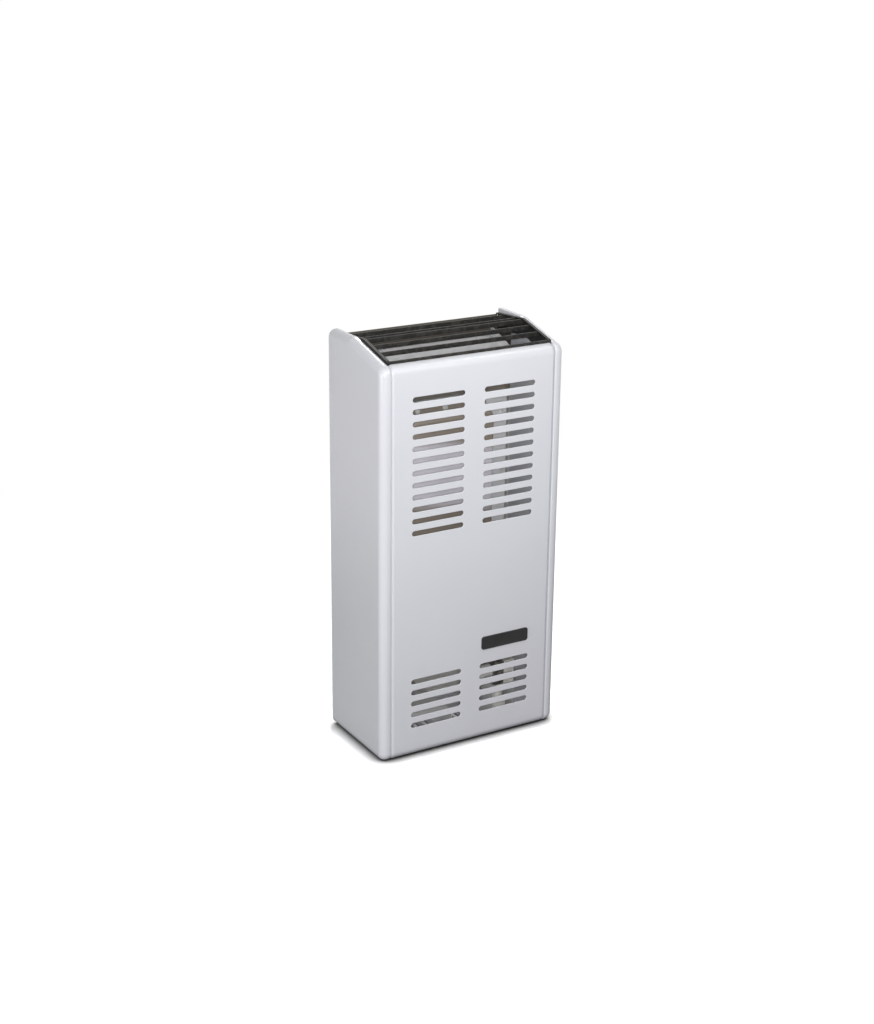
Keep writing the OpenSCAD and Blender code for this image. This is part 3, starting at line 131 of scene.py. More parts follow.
class PanelSizes(bpy.types.PropertyGroup):
    """Sizes of the slotted front panel."""
    half_width: measured("Half Width", PANEL_HIGH.x, "Middle to side")
    sheet: size("Panel Sheet", 1, "Sheet of the front panel")
    side_bend: size("Side Bend", 4, "Radius of the side bends")
    side_return: size("Side Return", 10, "Depth of the side returns")
    foot: size("Foot", 12, "How far the panel runs back underneath")
    brow: size("Brow", 1, "How far the panel runs up the slope")
    hem: size("Hem", 8.6, "Height of the folded edge behind the brow")
    slot_length: size("Slot Length", 81.6, "Length of a slot")
    slot_height: size("Slot Height", 7.4, "Height of a slot")
    column_gap: size("Column Gap", 31.2, "Distance between the two columns of slots")
    upper_rows: count("Upper Rows", 12, "Slots in an upper column")
    lower_rows: count("Lower Rows", 5, "Slots in a lower column")
    upper_pitch: size("Upper Pitch", 17.2, "Spacing of the upper slots")
    lower_pitch: size("Lower Pitch", 16.8, "Spacing of the lower slots")
    upper_height: size("Upper Height", 336.3, "Height of the lowest upper slot")
    lower_height: size("Lower Height", 47.4, "Height of the lowest lower slot")
    slot_edge: size("Slot Edge", 0.55, "Rounding of the enamel at a slot's edge")


class GrilleSizes(bpy.types.PropertyGroup):
    """Sizes of the grille's bars."""
    thickness: size("Bar Thickness", 2.5, "Thickness of a bar")
    height: size("Bar Height", 6.5, "Height of a bar")
    edge: size("Bar Edge", 0.5, "Rounding of a bar's edges")


class ChamberSizes(bpy.types.PropertyGroup):
    """Sizes of the heat exchanger's pressed front shell."""
    body_width: size("Body Width", 134, "Width of the raised body")
    flange: size("End Flange", 14, "Height of the flat flange above and below the body")
    sheet: size("Shell Sheet", 1, "Sheet of the shell")
    face_bend: size("Face Bend", 4, "Radius between the body's face and its sides")
    foot_bend: size("Foot Bend", 2, "Radius between the body's sides and the flange")
    corner: size("Body Corner", 10, "Radius of the body's corners seen from the front")
    flange_corner: size("Flange Corner", 6, "Radius of the flange's corners")
    sight_hole: size("Sight Hole", 12, "Radius of the hole behind the sight glass")


class ControlSizes(bpy.types.PropertyGroup):
    """Sizes of the knob, the dial and the control plate."""
    bore: size("Knob Bore", 4.05, "Radius of the knob's bore for the spindle")
    flutes: count("Flutes", 12, "Flutes round the knob")
    flute_depth: size("Flute Depth", 1.1, "Depth of a flute")
    pointer_width: size("Pointer Width", 2.4, "Width of the knob's pointer")
    pointer_length: size("Pointer Length", 9.5, "Length of the knob's pointer")
    pointer_rise: size("Pointer Rise", 6.2, "Knob's axis to the pointer's middle")
    plate_corner: size("Plate Corner", 8, "Radius of the control plate's corners")
    marks: count("Marks", 8, "Marks round the knob, 30 degrees apart")
    dial: size("Dial", 21.5, "Radius of the ring of marks")
    mark: size("Mark", 1.6, "Size of a mark")


class HeaterColours(bpy.types.PropertyGroup):
    """Linear colours of the finishes."""
    enamel: tint("Enamel", (0.79, 0.81, 0.85), "White enamel of the cabinet")
    enamel_shade: tint("Enamel Shade", (0.77, 0.76, 0.82), "Faint uneven tone of the enamel")
    grille: tint("Grille Black", (0.018, 0.018, 0.017), "Black enamel of the grille")
    zinc: tint("Zinc", (0.84, 0.85, 0.86), "Galvanised sheet")
    bright: tint("Bright Sheet", (0.90, 0.91, 0.93), "Aluminised sheet")
    heat_brown: tint("Heated Brown", (0.39, 0.33, 0.27), "Heated steel of the chamber")
    # Colour of the band of painted light across the chamber's front
    heat_lilac: tint("Heated Lilac", (0.86, 0.83, 0.90), "Paler band of the chamber's front")
    brass: tint("Brass", (0.70, 0.50, 0.22), "Brass fittings")
    copper: tint("Copper", (0.72, 0.36, 0.22), "Copper tubes")
    button: tint("Button", (0.42, 0.02, 0.015), "Igniter button")


class StageSettings(bpy.types.PropertyGroup):
    """Camera, lamps and floor."""
    camera_place: FloatVectorProperty(name="Camera Place", description="Where the camera stands",
                                      default=(-1.23433, -2.13362, 1.17298), subtype="XYZ", unit="LENGTH")
    azimuth: angle("Azimuth", 30.728, "Turn of the view to the right")
    elevation: angle("Elevation", 19.163, "Tilt of the view downwards")
    roll: angle("Roll", 0.597, "Turn about the line of sight")
    focal_pixels: FloatProperty(name="Focal Pixels", description="Focal length in pixels of the picture",
                                default=1787.22)
    centre_x: FloatProperty(name="Centre X", description="Column that the line of sight meets",
                            default=439.05)
    centre_y: FloatProperty(name="Centre Y", description="Row that the line of sight meets", default=505.4)
    world_level: FloatProperty(name="World", description="Strength of the surrounding light",
                               default=0.08, min=0)
    key_lamp: power("Key", 28.8, "Power of the lamp at the camera")
    side_lamp: power("Side", 9.6, "Power of the low lamp at the left")
    top_lamp: power("Top", 1.5, "Power of the lamp above the front")
    back_lamp: power("Back", 13, "Power of the high lamp behind the right side")
    brow_lamp: power("Brow", 2.5, "Power of the high lamp at the right")
    floor_gain: FloatProperty(name="Floor Gain", description="How much paler the floor is to the camera",
                              default=8, min=0)
    # The dark line along the heater's foot is a painted contact shadow on the floor
    contact_reach: size("Contact Reach", 26, "Width of the dark line along the heater's foot")


# ---------------------------------------------------------------- nodes and trees


def add(tree, kind, wires=None, **settings):
    """Adds a node, sets its properties, and joins or fills its inputs, given by name or number."""
    made = tree.nodes.new(kind)
    for name, value in settings.items():
        setattr(made, name, value)
    for key, value in (wires or {}).items():
        if isinstance(value, bpy.types.NodeSocket):
            tree.links.new(value, made.inputs[key])
        else:
            made.inputs[key].default_value = value
    return made


def new_tree(name, kind, inputs, outputs):
    """A node group with named sockets, and the sockets of its input node."""
    tree = bpy.data.node_groups.new(name, kind)
    for label, socket, default in inputs:
        made = tree.interface.new_socket(label, in_out="INPUT", socket_type=socket)
        if default is not None:
            made.default_value = default
    for label, socket in outputs:
        tree.interface.new_socket(label, in_out="OUTPUT", socket_type=socket)
    return tree, add(tree, "NodeGroupInput").outputs


def ended(tree, *values):
    """The tree, once these values are joined to its outputs in order."""
    add(tree, "NodeGroupOutput", dict(enumerate(values)))
    return tree


def tree_named(name, build):
    """The tree of that name, built when it is first asked for."""
    return bpy.data.node_groups.get(name) or build(name)


def number(label, default=0.0):
    """A number input of a tree."""
    return (label, "NodeSocketFloat", default)


def whole(label, default=1):
    """A whole number input of a tree."""
    return (label, "NodeSocketInt", default)


def colour_input(label):
    """A colour input of a tree."""
    return (label, "NodeSocketColor", None)


def calc(tree, operation, *values, clamp=False):
    """A number worked out by one Math node."""
    wires = dict(enumerate(values))
    return add(tree, "ShaderNodeMath", wires, operation=operation, use_clamp=clamp).outputs[0]


def times(tree, *values, clamp=False):
    return calc(tree, "MULTIPLY", *values, clamp=clamp)


def plus(tree, *values, clamp=False):
    return calc(tree, "ADD", *values, clamp=clamp)


def less(tree, *values):
    return calc(tree, "SUBTRACT", *values)


def vec(tree, operation, *values):
    """A vector worked out by one Vector Math node."""
    return add(tree, "ShaderNodeVectorMath", dict(enumerate(values)), operation=operation).outputs[0]


def xyz(tree, x=0.0, y=0.0, z=0.0):
    """A vector made of three numbers."""
    return add(tree, "ShaderNodeCombineXYZ", {0: x, 1: y, 2: z}).outputs[0]


def split(tree, vector):
    """The three numbers of a vector."""
    return add(tree, "ShaderNodeSeparateXYZ", {0: vector}).outputs


def blend(tree, share, first, second):
    """One colour turning into another."""
    return add(tree, "ShaderNodeMix", {0: share, 6: first, 7: second}, data_type="RGBA").outputs[2]


def ramp(tree, value, low, high, out_low=0.0, out_high=1.0):
    """A number carried from one range to another, smoothly."""
    wires = {0: value, 1: low, 2: high, 3: out_low, 4: out_high}
    return add(tree, "ShaderNodeMapRange", wires, interpolation_type="SMOOTHSTEP").outputs[0]


def noise(tree, place, scale, detail):
    """A cloud of noise, as a number and as a colour."""
    return add(tree, "ShaderNodeTexNoise", {"Vector": place, "Scale": scale, "Detail": detail}).outputs


def geo(tree, kind, wires=None, **settings):
    """The first output of a geometry node."""
    return add(tree, "GeometryNode" + kind, wires, **settings).outputs[0]


def moved(tree, shape, x=0.0, y=0.0, z=0.0):
    """A shape moved by three numbers."""
    return geo(tree, "Transform", {0: shape, "Translation": xyz(tree, x, y, z)})


def together(tree, *shapes):
    """Several shapes as one."""
    join = add(tree, "GeometryNodeJoinGeometry")
    for shape in shapes:
        tree.links.new(shape, join.inputs[0])
    return join.outputs[0]


def vector_of(tree, attribute):
    """A vector that each point carries."""
    return geo(tree, "InputNamedAttribute", {"Name": attribute}, data_type="FLOAT_VECTOR")


def shape_tree(name, inputs):
    """A geometry tree with a geometry input, the named inputs and a material input."""
    sockets = [("Geometry", "NodeSocketGeometry", None), *inputs, ("Finish", "NodeSocketMaterial", None)]
    return new_tree(name, "GeometryNodeTree", sockets, [("Geometry", "NodeSocketGeometry")])


def finished(tree, into, shape):
    """The tree, ended with its instances made real and its finish set."""
    real = geo(tree, "RealizeInstances", {0: shape})
    return ended(tree, geo(tree, "SetMaterial", {0: real, "Material": into["Finish"]}))


def grown(name, mesh, tree, values):
    """Runs a geometry tree on a mesh and gives back a plain mesh."""
    seed = bpy.data.objects.new(name + "_seed", mesh)
    bpy.context.scene.collection.objects.link(seed)
    growth = seed.modifiers.new("Growth", "NODES")
    growth.node_group = tree
    for item in tree.interface.items_tree:
        if item.in_out == "INPUT" and item.name in values:
            growth[item.identifier] = values[item.name]
    return baked(seed)


def baked(obj):
    """The object's mesh with its modifiers applied; the object goes."""
    bpy.context.view_layer.update()
    graph = bpy.context.evaluated_depsgraph_get()
    mesh = bpy.data.meshes.new_from_object(obj.evaluated_get(graph), preserve_all_data_layers=True,
                                           depsgraph=graph)
    bpy.data.objects.remove(obj)
    return mesh


# ---------------------------------------------------------------- meshes


def mesh_of(name, points, faces):
    mesh = bpy.data.meshes.new(name)
    mesh.from_pydata([tuple(p) for p in points], [], faces)
    mesh.update()
    return mesh


def point_mesh(name, points, attribute, vectors):
    """Loose points that carry one vector each."""
    mesh = mesh_of(name, points, [])
    layer = mesh.attributes.new(attribute, "FLOAT_VECTOR", "POINT")
    layer.data.foreach_set("vector", [c for v in vectors for c in v])
    return mesh


def joined(*meshes):
    """One mesh of several, with the points that meet merged and the faces turned outwards."""
    bm = bmesh.new()
    for mesh in meshes:
        bm.from_mesh(mesh)
    bmesh.ops.remove_doubles(bm, verts=bm.verts, dist=MERGE)
    bmesh.ops.dissolve_degenerate(bm, dist=MERGE / 2, edges=bm.edges)
    bmesh.ops.recalc_face_normals(bm, faces=bm.faces)
    return made_mesh("joined", bm)


def made_mesh(name, bm):
    mesh = bpy.data.meshes.new(name)
    bm.to_mesh(mesh)
    bm.free()
    return mesh


def piece(name, mesh, coat, body="cabinet", nodes=(), smooth=SMOOTH_ANGLE):
    """Puts a finished mesh in the scene as a piece of the heater."""
    mesh.name = name
    mesh.materials.clear()
    mesh.materials.append(coat)
    mesh.shade_smooth()
    mesh.set_sharp_from_angle(angle=smooth)
    made = bpy.data.objects.new(name, mesh)
    bpy.context.scene.collection.objects.link(made)
    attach(made, body)
    if nodes:
        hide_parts(*nodes)


def replace(node, mesh, smooth=SMOOTH_ANGLE):
    """Puts a piece in the place of a frame node, on its body and in its finish."""
    piece(node, mesh, coat_of(node), BODY_OF[node], [node], smooth)


def replace_rounded(node, width):
    """Puts a copy of a frame node in its place, with its sharp edges rounded."""
    replace(node, rounded_edges(cad_copy(node), width), ROUNDED_ANGLE)


def rounded_edges(mesh, width, limit=40):
    """The mesh with the edges sharper than limit degrees rounded in two steps."""
    holder = bpy.data.objects.new("edge_holder", mesh)
    bpy.context.scene.collection.objects.link(holder)
    edge = holder.modifiers.new("Edges", "BEVEL")
    edge.width = width
    edge.segments = 2
    edge.limit_method = "ANGLE"
    edge.angle_limit = math.radians(limit)
    edge.use_clamp_overlap = False
    return baked(holder)


def cad_bmesh(node):
    """A node's mesh with its loose triangles merged."""
    bm = bmesh.new()
    bm.from_mesh(frame["nodes"][node].data)
    bmesh.ops.remove_doubles(bm, verts=bm.verts, dist=MERGE / 2)
    return bm


def cad_copy(node):
    """A copy of a node's mesh with its flat faces whole."""
    bm = cad_bmesh(node)
    bmesh.ops.dissolve_limit(bm, angle_limit=FLAT_ANGLE, verts=bm.verts, edges=bm.edges)
    return made_mesh(node + "_copy", bm)


def solids_of(node):
    """Lowest and highest corner of each separate solid of a node."""
    bm = cad_bmesh(node)
    left, boxes = set(bm.verts), []
    while left:
        front = [left.pop()]
        group = list(front)
        while front:
            for edge in front.pop().link_edges:
                for vert in edge.verts:
                    if vert in left:
                        left.remove(vert)
                        front.append(vert)
                        group.append(vert)
        low = Vector(min(v.co[i] for v in group) for i in range(3))
        high = Vector(max(v.co[i] for v in group) for i in range(3))
        boxes.append((low, high))
    bm.free()
    return sorted(boxes, key=lambda box: tuple(round(c, 5) for c in box[0]))


def middle_of(node):
    low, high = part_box(node)
    return (low + high) / 2


def arc(centre, radius, first, last, steps):
    """Points along an arc, with the angles in degrees, both ends among them."""
    turns = [math.radians(first + (last - first) * k / steps) for k in range(steps + 1)]
    return [(centre[0] + radius * math.cos(t), centre[1] + radius * math.sin(t)) for t in turns]


def circle(centre, radius, steps):
    return arc(centre, radius, 0, 360, steps)[:-1]


def rounded_rectangle(width, height, radius, steps=6, centre=(0, 0)):
    """Outline of a rectangle with round corners."""
    points = []
    for sx, sy, first in ((1, 1, 0), (-1, 1, 90), (-1, -1, 180), (1, -1, 270)):
        corner = (centre[0] + sx * (width / 2 - radius), centre[1] + sy * (height / 2 - radius))
        points += arc(corner, radius, first, first + 90, steps)
    return points


def ring_faces(first, second, sides):
    """Faces between two rings of points that start at these numbers."""
    return [(first + k, first + (k + 1) % sides, second + (k + 1) % sides, second + k) for k in range(sides)]


def stacked_faces(rings, sides):
    """Faces between each ring of points and the next."""
    return [face for row in range(rings - 1) for face in ring_faces(row * sides, (row + 1) * sides, sides)]


def holed_plate(outline, holes, front, back):
    """Points and faces of a plate between two levels of x, with its outline and its holes in (y, z)."""
    loops = [outline, *holes]
    flat = [p for loop in loops for p in loop]
    triangles = tessellate_polygon([[Vector((u, v, 0)) for u, v in loop] for loop in loops])
    sides = len(flat)
    points = [(front, u, v) for u, v in flat] + [(back, u, v) for u, v in flat]
    faces = [tuple(t) for t in triangles] + [tuple(i + sides for i in reversed(t)) for t in triangles]
    start = 0
    for loop in loops:
        faces += ring_faces(start, start + sides, len(loop))
        start += len(loop)
    return points, faces


def rows_from(level, radius, *rows):
    """Rows of a turned profile, given as millimetres past a level and past a radius."""
    return [(level + along * MM, radius + out * MM) for along, out in rows]


def turned(rows, place, steps=64, shape=None):
    """The mesh of a solid turned from (level, radius) rows: place makes a point of (level, side, up), and
    shape may change a radius by its row and angle."""
    points, numbers = [], []
    for row, (level, radius) in enumerate(rows):
        if not radius:
            numbers.append([len(points)] * steps)
            points.append(place(level, 0, 0))
            continue
        numbers.append([len(points) + k for k in range(steps)])
        for k in range(steps):
            turn = 2 * math.pi * k / steps
            r = shape(row, turn, radius) if shape else radius
            points.append(place(level, r * math.cos(turn), r * math.sin(turn)))
    faces = []
    for first, second in zip(numbers, numbers[1:]):
        for k in range(steps):
            quad = (first[k], first[(k + 1) % steps], second[(k + 1) % steps], second[k])
            face = tuple(dict.fromkeys(quad))
            if len(face) > 2:
                faces.append(face)
    return joined(mesh_of("turned", points, faces))


def along_x(centre):
    return lambda level, side, up: (level, centre.y + side, centre.z + up)


def along_y(centre):
    return lambda level, side, up: (side, level, centre.z + up)


# ---------------------------------------------------------------- the cabinet's bent sheets


class Profile:
    """The cabinet's outer profile in (y, z): four sides and three bends, each place with its inward
    direction."""

    def __init__(self, s):
        brow_z = s.height - (s.depth - s.level_depth) * math.tan(s.slope)
        corners = [(0, 0), (-s.depth, 0), (-s.depth, brow_z), (-s.level_depth, s.height), (0, s.height)]
        self.corners = [Vector(c) for c in corners]
        self.facing = [270, 180, 90 + math.degrees(s.slope), 90]
        self.radius = [s.bottom_bend, s.brow_bend, s.crest_bend]
        self.cuts = [r * math.tan(math.radians(self.facing[i] - self.facing[i + 1]) / 2)
                     for i, r in enumerate(self.radius)]

    def inward(self, side):
        turn = math.radians(self.facing[side])
        return Vector((-math.cos(turn), -math.sin(turn)))

    def run(self, side):
        return (self.corners[side + 1] - self.corners[side]).normalized()

    def start(self, side):
        return self.corners[side] + self.run(side) * (self.cuts[side - 1] if side else 0)

    def length(self, side):
        end = self.corners[side + 1] - self.run(side) * (self.cuts[side] if side < 3 else 0)
        return (end - self.start(side)).length

    def flat(self, side, *distances):
        """Places on a side at distances from its start; a negative one counts back from its end."""
        full = self.length(side)
        return [(self.start(side) + self.run(side) * (d if d >= 0 else full + d), self.inward(side))
                for d in distances]

    def whole(self, side, support):
        """A side's start and end, with a place just inside each."""
        return self.flat(side, 0, support, -support, self.length(side))

    def bend(self, index, steps):
        """Places inside a bend."""
        centre = self.start(index + 1) + self.inward(index + 1) * self.radius[index]
        first, last = self.facing[index:index + 2]
        places = []
        for k in range(1, steps):
            turn = math.radians(first + (last - first) * k / steps)
            out = Vector((math.cos(turn), math.sin(turn)))
            places.append((centre + out * self.radius[index], -out))
        return places


def bent(centre, radius, first, last, steps):
    """Links of a chain round a bend: (x, depth, towards x, towards depth), facing the bend's centre."""
    return [(x, d, (centre[0] - x) / radius, (centre[1] - d) / radius)
            for x, d in arc(centre, radius, first, last, steps)]


def sheet_loop(chain, sheet, round_last=True):
    """Closed outline of a bent sheet from the chain of its outer face. Its first end is rounded, and so is its
    last unless round_last is off."""
    outer = [(x, d) for x, d, _, _ in chain]
    inner = [(x + nx * sheet, d + nd * sheet) for x, d, nx, nd in chain]

    def end_round(near, far, before, end):
        towards = (Vector(end) - Vector(before)).normalized()
        mid, half = (Vector(near) + Vector(far)) / 2, (Vector(near) - Vector(far)) / 2
        spots = [mid + half * math.cos(t) + towards * math.sin(t) * sheet / 2
                 for t in (math.pi / 4, math.pi / 2, 3 * math.pi / 4)]
        return [tuple(spot) for spot in spots]

    loop = list(outer)
    if round_last:
        loop += end_round(outer[-1], inner[-1], outer[-2], outer[-1])
    return loop + inner[::-1] + end_round(inner[0], outer[0], outer[1], outer[0])


def swept(loop_at, stations, skip=(), open_edge=None):
    """Points and faces of a sheet swept along profile stations, with one loop of (x, depth) for each. skip
    holds the (station, column) pairs left open, and open_edge a column that has no faces at any station."""
    sides = len(loop_at[0])
    points, faces = [], []
    for loop, (place, inward) in zip(loop_at, stations):
        points += [(x, place.x + inward.x * d, place.y + inward.y * d) for x, d in loop]
    for i in range(len(stations) - 1):
        for j in range(sides):
            if (i, j) not in skip and j != open_edge:
                k = (j + 1) % sides
                faces.append((i * sides + j, i * sides + k, (i + 1) * sides + k, (i + 1) * sides + j))
    return points, faces


# ---------------------------------------------------------------- geometry trees

# A slot's rounded edge, from the face inwards: how far outside the slot, and how deep, both in roundings
SLOT_ROUNDING = ((1.0, 0.0), (0.62, 0.08), (0.29, 0.29), (0.08, 0.62), (0.0, 1.0))
# How far the flat collar round a slot reaches, in roundings
COLLAR = 1.8
# A slot's end radius as a share of its height, a little under the half that would make its ends meet
FULL_END = 0.4999


def slotted_sheet_tree(name):
    """The flat of the front panel: both faces filled round the slots, and each slot's edge rounded
    inwards."""
    tree, into = shape_tree(name, [
        number("Half Width"), number("Bottom"), number("Top"), number("Front"), number("Sheet"),
        number("Slot Length"), number("Slot Height"), number("Column Gap"),
        whole("Upper Rows"), whole("Lower Rows"), number("Upper Pitch"), number("Lower Pitch"),
        number("Upper Height"), number("Lower Height"), number("Edge"), whole("Arc Steps")])
    spread = times(tree, plus(tree, into["Column Gap"], into["Slot Length"]), 0.5)
    columns = together(tree, *(
        geo(tree, "MeshLine", {
            "Count": into[rows + " Rows"],
            "Start Location": xyz(tree, times(tree, spread, side), into[rows + " Height"]),
            "Offset": xyz(tree, 0.0, into[rows + " Pitch"])})
        for rows in ("Upper", "Lower") for side in (-1, 1)))
    core = times(tree, less(tree, into["Slot Length"], into["Slot Height"]), 0.5)
    radius = times(tree, into["Slot Height"], 0.5)

    def slot_curve(extra):
        grow = times(tree, into["Edge"], 2 * extra)
        high = plus(tree, into["Slot Height"], grow)
        box = geo(tree, "CurvePrimitiveQuadrilateral", {
            "Width": plus(tree, into["Slot Length"], grow), "Height": high})
        return geo(tree, "FilletCurve", {
            0: box, "Count": into["Arc Steps"], "Radius": times(tree, high, FULL_END)}, mode="POLY")

    def at_slots(shape):
        spots = geo(tree, "InstanceOnPoints", {"Points": columns, "Instance": shape})
        return geo(tree, "RealizeInstances", {0: spots})

    def filled(extra):
        box = geo(tree, "CurvePrimitiveQuadrilateral", {
            "Width": times(tree, into["Half Width"], 2.0), "Height": less(tree, into["Top"], into["Bottom"])})
        middle = times(tree, plus(tree, into["Top"], into["Bottom"]), 0.5)
        both = together(tree, moved(tree, box, 0.0, middle), at_slots(slot_curve(extra)))
        return geo(tree, "FillCurve", {0: both}, mode="TRIANGLES")

    collar, last_ring = geo(tree, "CurveToMesh", {0: slot_curve(COLLAR)}), True
    reach = plus(tree, radius, times(tree, into["Edge"], COLLAR))
    back = times(tree, into["Sheet"], -1.0)
    rings = [(share, times(tree, into["Edge"], -depth)) for share, depth in SLOT_ROUNDING] + [(0.0, back)]
    for share, level in rings:
        grown_edges = add(tree, "GeometryNodeExtrudeMesh", {
            0: collar, "Selection": last_ring, "Offset Scale": 0.0}, mode="EDGES")
        x, y, _ = split(tree, geo(tree, "InputPosition"))
        middle = calc(tree, "MAXIMUM", calc(tree, "MINIMUM", x, core), times(tree, core, -1.0))
        target = plus(tree, radius, times(tree, into["Edge"], share))
        ratio = calc(tree, "DIVIDE", target, reach)
        reach = target
        across = plus(tree, middle, times(tree, less(tree, x, middle), ratio))
        drawn_in = xyz(tree, across, times(tree, y, ratio), level)
        last_ring = grown_edges.outputs["Top"]
        collar = geo(tree, "SetPosition", {
            0: grown_edges.outputs[0], "Selection": last_ring, "Position": drawn_in})
    sheet = together(tree, filled(COLLAR), moved(tree, filled(0.0), z=back), at_slots(collar))
    stood = geo(tree, "Transform", {
        0: sheet, "Translation": xyz(tree, 0.0, into["Front"]), "Rotation": (math.radians(90), 0, 0)})
    return finished(tree, into, geo(tree, "MergeByDistance", {0: stood, "Distance": MERGE}))


def bars_tree(name):
    """Flat bars with rounded edges on the points of a mesh, each turned by its point's turn attribute."""
    tree, into = shape_tree(name, [number("Length"), number("Thickness"), number("Height"), number("Edge")])
    section = geo(tree, "CurvePrimitiveQuadrilateral", {"Width": into["Thickness"], "Height": into["Height"]})
    soft = geo(tree, "FilletCurve", {0: section, "Count": 3, "Radius": into["Edge"]}, mode="POLY")
    half = times(tree, into["Length"], 0.5)
    line = geo(tree, "CurvePrimitiveLine", {
        "Start": xyz(tree, times(tree, half, -1.0)), "End": xyz(tree, half)})
    bar = geo(tree, "CurveToMesh", {0: line, 1: soft, "Fill Caps": True})
    turn = add(tree, "FunctionNodeEulerToRotation", {0: vector_of(tree, "turn")}).outputs[0]
    return finished(tree, into, geo(tree, "InstanceOnPoints", {
        "Points": into["Geometry"], "Instance": bar, "Rotation": turn}))


def fasteners_tree(name):
    """Screws or rivets on the points of a mesh: a head with a domed top over a washer, a cross recess and a
    shank, turned to each point's facing attribute and then by a random angle about their own axis."""
    tree, into = shape_tree(name, [
        whole("Sides", 6), number("Head Radius"), number("Side Height"), number("Dome Height"),
        number("Washer Radius"), number("Washer Height"), number("Shank Radius"), number("Shank Length"),
        number("Recess Width"), number("Recess Length"), number("Recess Depth"), whole("Seed", 7)])

    def raised(shape, selection, height):
        return add(tree, "GeometryNodeExtrudeMesh", {
            0: shape, "Selection": selection, "Offset": (0, 0, 1), "Offset Scale": height}, mode="FACES")

    def present(length):
        some = add(tree, "FunctionNodeCompare", {0: into[length], 1: 0.0}, operation="GREATER_THAN")
        return some.outputs[0]

    disc = geo(tree, "MeshCircle", {"Vertices": into["Sides"], "Radius": into["Head Radius"]},
               fill_type="NGON")
    head = raised(disc, True, into["Side Height"])
    shape, top, share, level = head.outputs[0], head.outputs["Top"], 1.0, 0.0
    for turn in (22, 45, 70):
        wide, high = math.cos(math.radians(turn)), math.sin(math.radians(turn))
        step = raised(shape, top, times(tree, into["Dome Height"], high - level))
        top, level = step.outputs["Top"], high
        shape = geo(tree, "ScaleElements", {0: step.outputs[0], "Selection": top, "Scale": wide / share},
                    domain="FACE")
        share = wide
    closed = together(tree, shape, geo(tree, "FlipFaces", {0: disc}))
    sealed = geo(tree, "MergeByDistance", {0: closed, "Distance": MERGE / 4})
    height = plus(tree, into["Side Height"], into["Dome Height"])
    deep = times(tree, into["Recess Depth"], 2.0)
    long, wide = into["Recess Length"], into["Recess Width"]
    cross = together(tree, *(
        moved(tree, geo(tree, "MeshCube", {"Size": xyz(tree, *sides, deep)}), z=height)
        for sides in ((long, wide), (wide, long))))
    cut = geo(tree, "MeshBoolean", {0: sealed, 1: cross, "Self Intersection": True}, operation="DIFFERENCE",
              solver="EXACT")
    chosen = geo(tree, "Switch", {0: present("Recess Depth"), 1: sealed, 2: cut}, input_type="GEOMETRY")
    parts = [moved(tree, chosen, z=into["Washer Height"])]
    for kind, length, middle, sides in (
            ("Washer", "Washer Height", 0.5, 28), ("Shank", "Shank Length", -0.5, 16)):
        rod = geo(tree, "MeshCylinder", {
            "Vertices": sides, "Radius": into[kind + " Radius"], "Depth": into[length]})
        placed = moved(tree, rod, z=times(tree, into[length], middle))
        parts.append(geo(tree, "Switch", {0: present(length), 2: placed}, input_type="GEOMETRY"))
    aimed = add(tree, "FunctionNodeAlignRotationToVector", {"Vector": vector_of(tree, "facing")}, axis="Z")
    chance = add(tree, "FunctionNodeRandomValue", {3: 2 * math.pi, "Seed": into["Seed"]}, data_type="FLOAT")
    spin = add(tree, "FunctionNodeEulerToRotation", {0: xyz(tree, 0.0, 0.0, chance.outputs[1])})
    way = add(tree, "FunctionNodeRotateRotation", {0: aimed.outputs[0], 1: spin.outputs[0]},
              rotation_space="LOCAL").outputs[0]
    return finished(tree, into, geo(tree, "InstanceOnPoints", {
        "Points": into["Geometry"], "Instance": together(tree, *parts), "Rotation": way}))


# ---------------------------------------------------------------- finishes


def effect_tree(name, inputs, *outputs):
    """A shader group that reads a place on the heater, the named inputs, and puts out the named numbers."""
    sockets = [(label, "NodeSocketColor" if label == "Colour" else "NodeSocketFloat") for label in outputs]
    return new_tree(name, "ShaderNodeTree", [("Place", "NodeSocketVector", None), *inputs], sockets)


def mottle_group(name):
    """A colour that drifts between two tones."""
    tree, into = effect_tree(name, [
        colour_input("Base"), colour_input("Tone"), number("Scale", 5.0), number("Amount", 0.5)], "Colour")
    cloud = noise(tree, into["Place"], into["Scale"], 4.0)[0]
    share = times(tree, ramp(tree, cloud, 0.32, 0.68), into["Amount"])
    return ended(tree, blend(tree, share, into["Base"], into["Tone"]))


def grain_group(name):
    """Fine relief of a surface, stretched along one way where it is brushed or rolled."""
    tree, into = effect_tree(name, [number("Scale", 300.0), ("Stretch", "NodeSocketVector", EVEN)], "Height")
    place = vec(tree, "MULTIPLY", into["Place"], into["Stretch"])
    coarse = noise(tree, place, into["Scale"], 2.0)[0]
    fine = noise(tree, place, times(tree, into["Scale"], 4.3), 3.0)[0]
    return ended(tree, plus(tree, coarse, times(tree, fine, 0.35)))


def wear_group(name):
    """Mask of the edges where handling has thinned a coat."""
    tree, into = effect_tree(name, [number("Amount", 0.5), number("Scale", 90.0)], "Mask")
    edge = ramp(tree, add(tree, "ShaderNodeNewGeometry").outputs["Pointiness"], 0.51, 0.60)
    patchy = ramp(tree, noise(tree, into["Place"], into["Scale"], 5.0)[0], 0.42, 0.62)
    return ended(tree, times(tree, times(tree, edge, patchy), into["Amount"], clamp=True))


def dust_group(name):
    """Mask of the dust that settles on faces turned upwards."""
    tree, into = effect_tree(name, [number("Amount", 0.2), number("Scale", 40.0)], "Mask")
    up = ramp(tree, split(tree, add(tree, "ShaderNodeNewGeometry").outputs["Normal"])[2], 0.35, 1.0)
    drift = ramp(tree, noise(tree, into["Place"], into["Scale"], 6.0)[0], 0.3, 0.7, 0.35, 1.0)
    return ended(tree, times(tree, times(tree, up, drift), into["Amount"], clamp=True))


